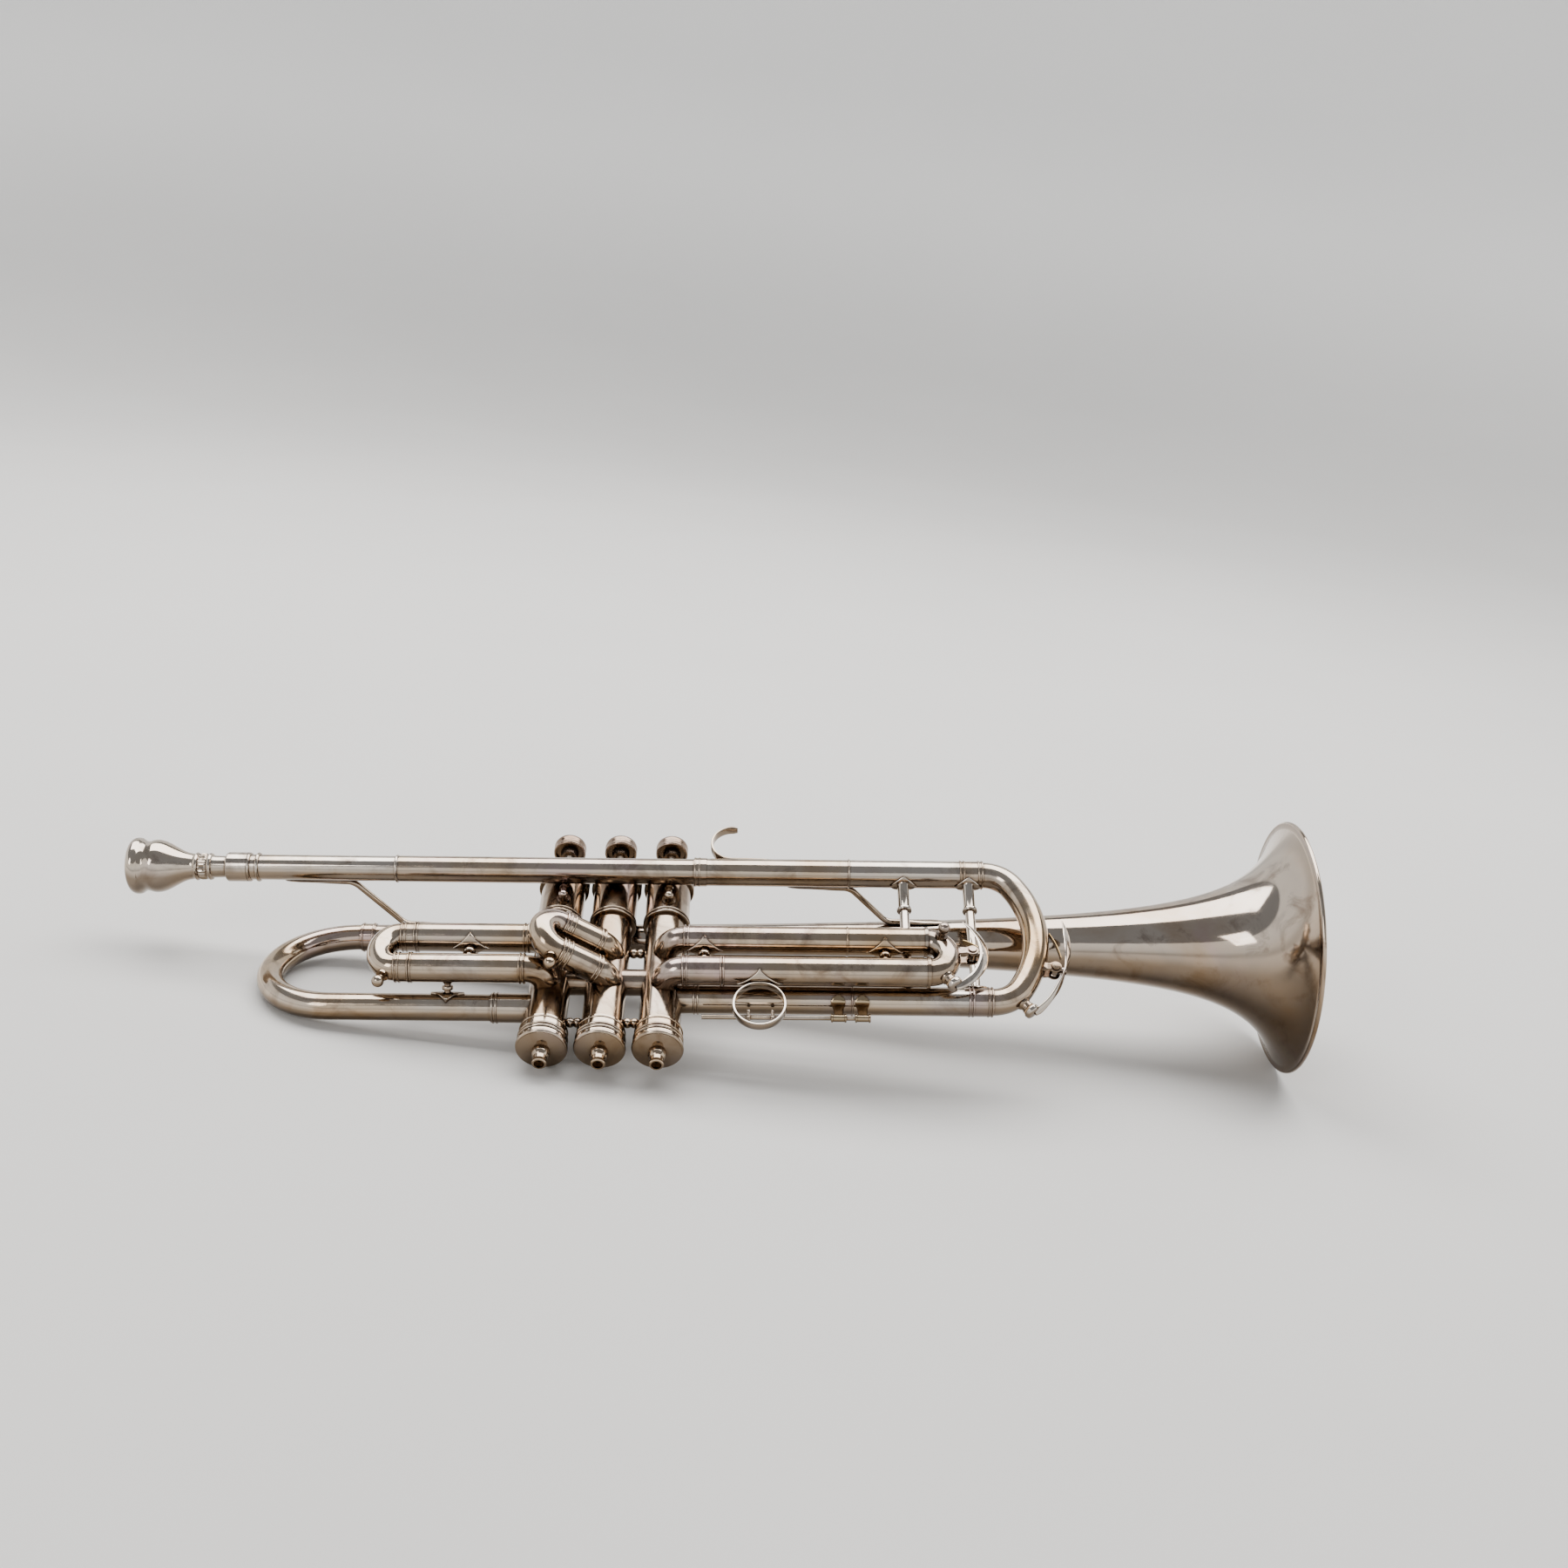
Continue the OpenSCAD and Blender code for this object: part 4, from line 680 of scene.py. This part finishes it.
KEYS = {
    "main": dict(
        at=main_frame(176.3) @ shift(0, 16.1632 - MAIN_SPAN, 0), corner=16.1632,
        nipple=40, pivot=(29.9, 1.5), foot=(23.6, 1.8), tip=(35.9, 29.3), end=(18.9, -21.9),
        bulge=7.5, body="main_key", base="main_slide",
        widths=[(0, 0.7), (0.06, 2.8), (0.16, 4.6), (0.28, 4.8), (0.42, 3.4),
                (0.55, 3.6), (0.8, 3.0), (0.95, 3.8), (1, 2.4)],
        twists=[(0, 45), (0.35, 45), (0.5, 10), (0.7, 40), (1, 40)]),
    "third": dict(
        at=shift(146.1, SLIDE_LOW + 8.6704, SLIDE_Z), corner=8.6704,
        nipple=35, pivot=(20.6, 3.5), foot=(13.7, 3.2), tip=(18.3, 26.4), end=(11.6, -18.0),
        bulge=11.2, body="third_key", base="third_slide",
        widths=[(0, 0.7), (0.08, 2.6), (0.2, 4.4), (0.4, 5.4), (0.6, 5.4), (0.8, 4.2),
                (0.95, 3.6), (1, 2.4)],
        twists=[(0, 60), (0.3, 55), (0.6, 50), (1, 50)]),
}
LEAF_STEPS = 48
LEAF_THICKS = [(0, 0.5), (0.1, 1.0), (0.4, 1.4), (0.55, 1.5), (1, 1.2)]
CUP_H = BEND_R + 3.0
CUP = [
    (3.12, CUP_H + 0.9), (3.6, CUP_H + 0.9), (3.75, CUP_H + 1.2), (3.75, CUP_H + 1.5),
    (3.6, CUP_H + 1.8), (3.6, CUP_H + 2.5), (3.3, CUP_H + 3.0), (2.4, CUP_H + 3.35),
    (0.05, CUP_H + 3.4), (0.05, CUP_H + 2.2), (3.12, CUP_H + 2.2),
]
BARREL = [
    (1.06, -2.4), (2.1, -2.4), (2.2, -2.2), (2.2, -1.6), (1.9, -1.4),
    (1.9, 1.4), (2.2, 1.6), (2.2, 2.2), (2.1, 2.4), (1.06, 2.4),
]
SCREW = [
    (0.98, -4.0), (0.98, 3.4), (1.9, 3.5), (1.95, 3.7), (1.95, 4.1), (1.75, 4.4), (0.6, 4.45),
]
NIPPLE = [
    (1.5, BEND_R - 0.6), (3.4, BEND_R - 0.6), (3.2, BEND_R + 0.2), (2.7, BEND_R + 0.7),
    (2.6, BEND_R + 1.9), (2.9, BEND_R + 2.1), (2.9, BEND_R + 2.7), (2.6, BEND_R + 3.0),
    (1.5, BEND_R + 3.0),
]
EAR_R = 2.9


def crescent_path(tip, end, bulge, steps):
    """Arc from tip to end that stands out by bulge."""
    p, q = Vector(tip), Vector(end)
    chord = (q - p).length
    radius = (chord * chord / 4 + bulge * bulge) / (2 * bulge)
    out = Vector((p.y - q.y, q.x - p.x)) / chord
    centre = (p + q) / 2 - out * (radius - bulge)
    first = math.degrees(math.atan2(p.y - centre.y, p.x - centre.x))
    span = math.degrees(2 * math.asin(chord / (2 * radius)))
    return arc_points(centre, radius, first, first - span, steps)


for kind, key in KEYS.items():
    at = key["at"]
    away = shift(key["corner"] * sin_deg(key["nipple"]), -key["corner"] * cos_deg(key["nipple"]), 0)
    nipple_at = at @ away @ spin(key["nipple"] - 90, "Z") @ TO_X
    px, py = key["pivot"]
    hinge_at = at @ shift(px, py, 0)
    shares = [i / LEAF_STEPS for i in range(LEAF_STEPS + 1)]
    leaf = crescent_path(key["tip"], key["end"], key["bulge"], LEAF_STEPS)
    sizes = [(graded(LEAF_THICKS, s), graded(key["widths"], s)) for s in shares]
    twists = [graded(key["twists"], s) for s in shares]
    web = [(px + 1.7, py), (px + 2.6, py), (px + 4.0, py), (px + 5.0, py)]
    web_sizes = [(3.4, 3.6), (2.4, 3.0), (2.6, 3.0), (4.2, 3.2)]
    shells = [
        sweep(leaf, sizes, at, 0.8, 20, twists),
        lathe(CUP, nipple_at, 56, closed=True),
        lathe(BARREL, hinge_at, 40, closed=True),
        sweep(web, web_sizes, at, 0.8),
    ]
    make_piece(kind + "_key_leaf", shells, PLATE_BRIGHT, key["body"], [kind + "_key_lever"])

    foot = Vector(key["foot"]) - Vector(key["pivot"])
    lean = math.degrees(math.atan2(foot.y, foot.x))
    ear = [(EAR_R * cos_deg(b), EAR_R * sin_deg(b)) for b in range(-125, 126, 10)]
    ear += [(-foot.length * 0.45, 1.75), (-foot.length, 2.3),
            (-foot.length, -2.3), (-foot.length * 0.45, -1.75)]
    saddle = []
    for side in (-1, 1):
        ear_at = at @ shift(px, py, side * 2.6) @ spin(lean + 180, "Z")
        if side < 0:
            ear_at = ear_at @ spin(180, "X")
        saddle.append(plate(ear, (0.0, 0.7, 0.9), None, ear_at))
    saddle += [lathe(SCREW, hinge_at, 32), lathe(NIPPLE, nipple_at, 48, closed=True)]
    make_piece(kind + "_key_ears", saddle, PLATE_WORN, key["base"], [kind + "_key_saddle"])

# ---- finger buttons and valve springs ---------------------------------------------------------

BUTTON_PROFILE = [
    (2.32, 134.4), (3.8, 134.4), (3.8, 136.2), (4.3, 137.0), (4.4, 138.5), (6.8, 138.6),
    (6.9, 137.0), (7.4, 137.1), (7.85, 137.6), (7.95, 138.4), (7.7, 138.9), (7.6, 139.6),
    (7.7, 140.4), (7.95, 140.9), (7.95, 142.4), (7.7, 143.1), (7.1, 143.55), (6.5, 143.5),
    (6.2, 143.2), (6.0, 143.05), (5.0, 142.9), (3.0, 142.66), (1.0, 142.55), (0.02, 142.54),
    (0.02, 136.9), (2.32, 136.9),
]
SPRING_Y, SPRING_L, SPRING_TURNS = 85.7, 22.2, 5
SPRING_R, SPRING_WIRE_R = 7.2, 0.55


def coil(radius, wire_r, length, turns, matrix, steps=32, sides=10):
    """Wire coil that rises along Z."""
    verts, faces = [], []
    rows = turns * steps
    for i in range(rows + 1):
        a = TAU * i / steps
        h = wire_r + (length - 2 * wire_r) * i / rows
        for k in range(sides):
            b = TAU * k / sides
            r = radius + wire_r * math.cos(b)
            verts.append((r * math.cos(a), r * math.sin(a), h + wire_r * math.sin(b)))
    return verts, tube_faces(rows, sides), matrix


for number, valve_x in enumerate(VALVE_X, start=1):
    n = str(number)
    button = lathe(BUTTON_PROFILE, shift(valve_x, 0, 0) @ TO_Y, 72, closed=True)
    make_piece("button_" + n, [button], BUTTON, "piston_" + n, ["finger_button_" + n])
for number, valve_x in enumerate(VALVE_X, start=1):
    n = str(number)
    spring_at = shift(valve_x, SPRING_Y, 0) @ TO_Y
    shell = coil(SPRING_R, SPRING_WIRE_R, SPRING_L, SPRING_TURNS, spring_at)
    spring = make_piece("valve_coil_" + n, [shell], BRONZE, "instrument", ["valve_spring_" + n])
    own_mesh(spring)

# ---- mouthpiece -------------------------------------------------------------------------------
# Tapered shank, ringed collar, ornamented band, bowl and rounded rim, with the bore inside

SHANK, TOTAL, RIM_H = 22.0, 67.0, 3.2
MOUTH_RIM, CUP_R, CUP_DEPTH = 13.5, 8.2, 11
THROAT_R = 1.85
BOWL_R = 12.6
rim_mid, rim_half = (MOUTH_RIM + CUP_R) / 2, (MOUTH_RIM - CUP_R) / 2
rim_base = TOTAL - RIM_H
profile = [
    (5.1 - 0.021 * SHANK - 0.05, 0.0), (5.05, SHANK), (5.25, 27.0), (5.35, 28.6),
    (6.2, 29.0), (6.5, 29.8), (6.2, 30.6), (5.7, 30.9),
]
profile += [(5.9 + 0.2 * math.sin(math.pi * i / 8), 31.2 + 3.6 * i / 8) for i in range(9)]
profile += [(5.7, 35.0), (6.3, 35.3), (6.7, 36.1), (6.3, 36.9), (6.1, 37.3)]
profile += [(6.2 + 6.4 * (1 - math.cos(math.pi * i / 20)) / 2, 37.6 + 17.4 * i / 20)
            for i in range(1, 21)]
profile += [(BOWL_R - 0.8 * (1 - math.cos(math.pi * i / 8)) / 2, 55 + 4.6 * i / 8)
            for i in range(1, 9)]
profile += [(rim_mid + rim_half * cos_deg(a), rim_base + RIM_H * sin_deg(a))
            for a in range(-55, 181, 9)]
profile += [(CUP_R * cos_deg(a) + THROAT_R * sin_deg(a), rim_base - CUP_DEPTH * sin_deg(a))
            for a in range(8, 90, 8)]
profile += [(THROAT_R, rim_base - 13), (2.1, 40.0), (3.75, 0.0)]
mouth_at = shift(MOUTH_X, *LEAD) @ TO_X @ shift(0, 0, TOTAL) @ spin(180, "X")
mouthpiece = lathe(profile, mouth_at, 144, True, 24, 0.22, (31.3, 34.7))
make_piece("mouthpiece_turned", [mouthpiece], PLATE_BRIGHT, "mouthpiece", ["mouthpiece"])

# ---- floor, backdrop and light ----------------------------------------------------------------


FLAT_R, COVE_R = 1.8, 2.4     # metres: the flat floor, and the curve up to the backdrop
GLOW_HEIGHT, GLOW = 0.5, 0.45


def revolved_mesh(name, profile, segments):
    """Surface of revolution about Z from (radius, height) pairs in metres."""
    verts, faces = [], []
    for r, h in profile:
        for k in range(segments):
            a = TAU * k / segments
            verts.append((r * math.cos(a), r * math.sin(a), h))
    for i in range(len(profile) - 1):
        for k in range(segments):
            j = (k + 1) % segments
            a, b = i * segments, (i + 1) * segments
            faces.append((a + k, a + j, b + j, b + k))
    mesh = bpy.data.meshes.new(name)
    mesh.from_pydata(verts, [], faces)
    mesh.shade_smooth()
    return mesh


floor_profile = [(0.001, 0.0), (1.0, 0.0), (FLAT_R, 0.0)]
floor_profile += [(FLAT_R + COVE_R * sin_deg(a), COVE_R * (1 - cos_deg(a)))
                  for a in range(6, 91, 6)]
floor = bpy.data.objects.new("floor", revolved_mesh("floor", floor_profile, 96))
bpy.context.scene.collection.objects.link(floor)
paper = Nodes("studio_paper")
paper_noise = paper.noise(3, 3)
PAPER_STOPS = [(0.3, (0.80, 0.795, 0.78)), (0.7, (0.83, 0.825, 0.81))]
paper_ramp = paper.ramp(paper_noise, "Fac", PAPER_STOPS)
paper.link(paper_ramp, "Color", paper.shader, "Base Color")
paper.shader.inputs["Roughness"].default_value = 0.9
height = paper.add("ShaderNodeSeparateXYZ")
paper.link(paper.coords, "Object", height, "Vector")
glow = paper.add("ShaderNodeMapRange", interpolation_type="SMOOTHSTEP")
glow.inputs["From Min"].default_value = 0.0
glow.inputs["From Max"].default_value = GLOW_HEIGHT
glow.inputs["To Min"].default_value = 0.0
glow.inputs["To Max"].default_value = GLOW
paper.link(height, "Z", glow, "Value")
paper.shader.inputs["Emission Color"].default_value = (1.0, 0.995, 0.98, 1)
paper.link(glow, "Result", paper.shader, "Emission Strength")
floor.data.materials.append(paper.material)


def area_light(name, at, towards, size, size_y, watts, colour):
    """Rectangular soft box that the camera doesn't see."""
    data = bpy.data.lights.new(name, "AREA")
    data.shape = "RECTANGLE"
    data.size, data.size_y = size, size_y
    data.energy = watts
    data.color = colour
    obj = bpy.data.objects.new(name, data)
    bpy.context.scene.collection.objects.link(obj)
    obj.location = at
    obj.rotation_mode = "QUATERNION"
    obj.rotation_quaternion = (Vector(towards) - Vector(at)).to_track_quat("-Z", "Y")
    obj.visible_camera = False
    return obj


area_light(
    "softbox_top", at=(0.0, 0.75, 1.7), towards=(0.0, 0.1, 0.05), size=3.0, size_y=1.5, watts=78,
    colour=(1.0, 0.975, 0.95))
area_light(
    "softbox_front", at=(-1.3, -1.7, 1.3), towards=(0.0, 0.0, 0.05), size=0.7, size_y=0.9, watts=9,
    colour=(1.0, 0.97, 0.94))

world = bpy.data.worlds.new("studio")
bpy.context.scene.world = world
world.use_nodes = True
world_tree = world.node_tree
world_tree.nodes.clear()
world_out = world_tree.nodes.new("ShaderNodeOutputWorld")
background = world_tree.nodes.new("ShaderNodeBackground")
background.inputs["Color"].default_value = (0.82, 0.84, 0.88, 1)
background.inputs["Strength"].default_value = 0.3
world_tree.links.new(background.outputs["Background"], world_out.inputs["Surface"])
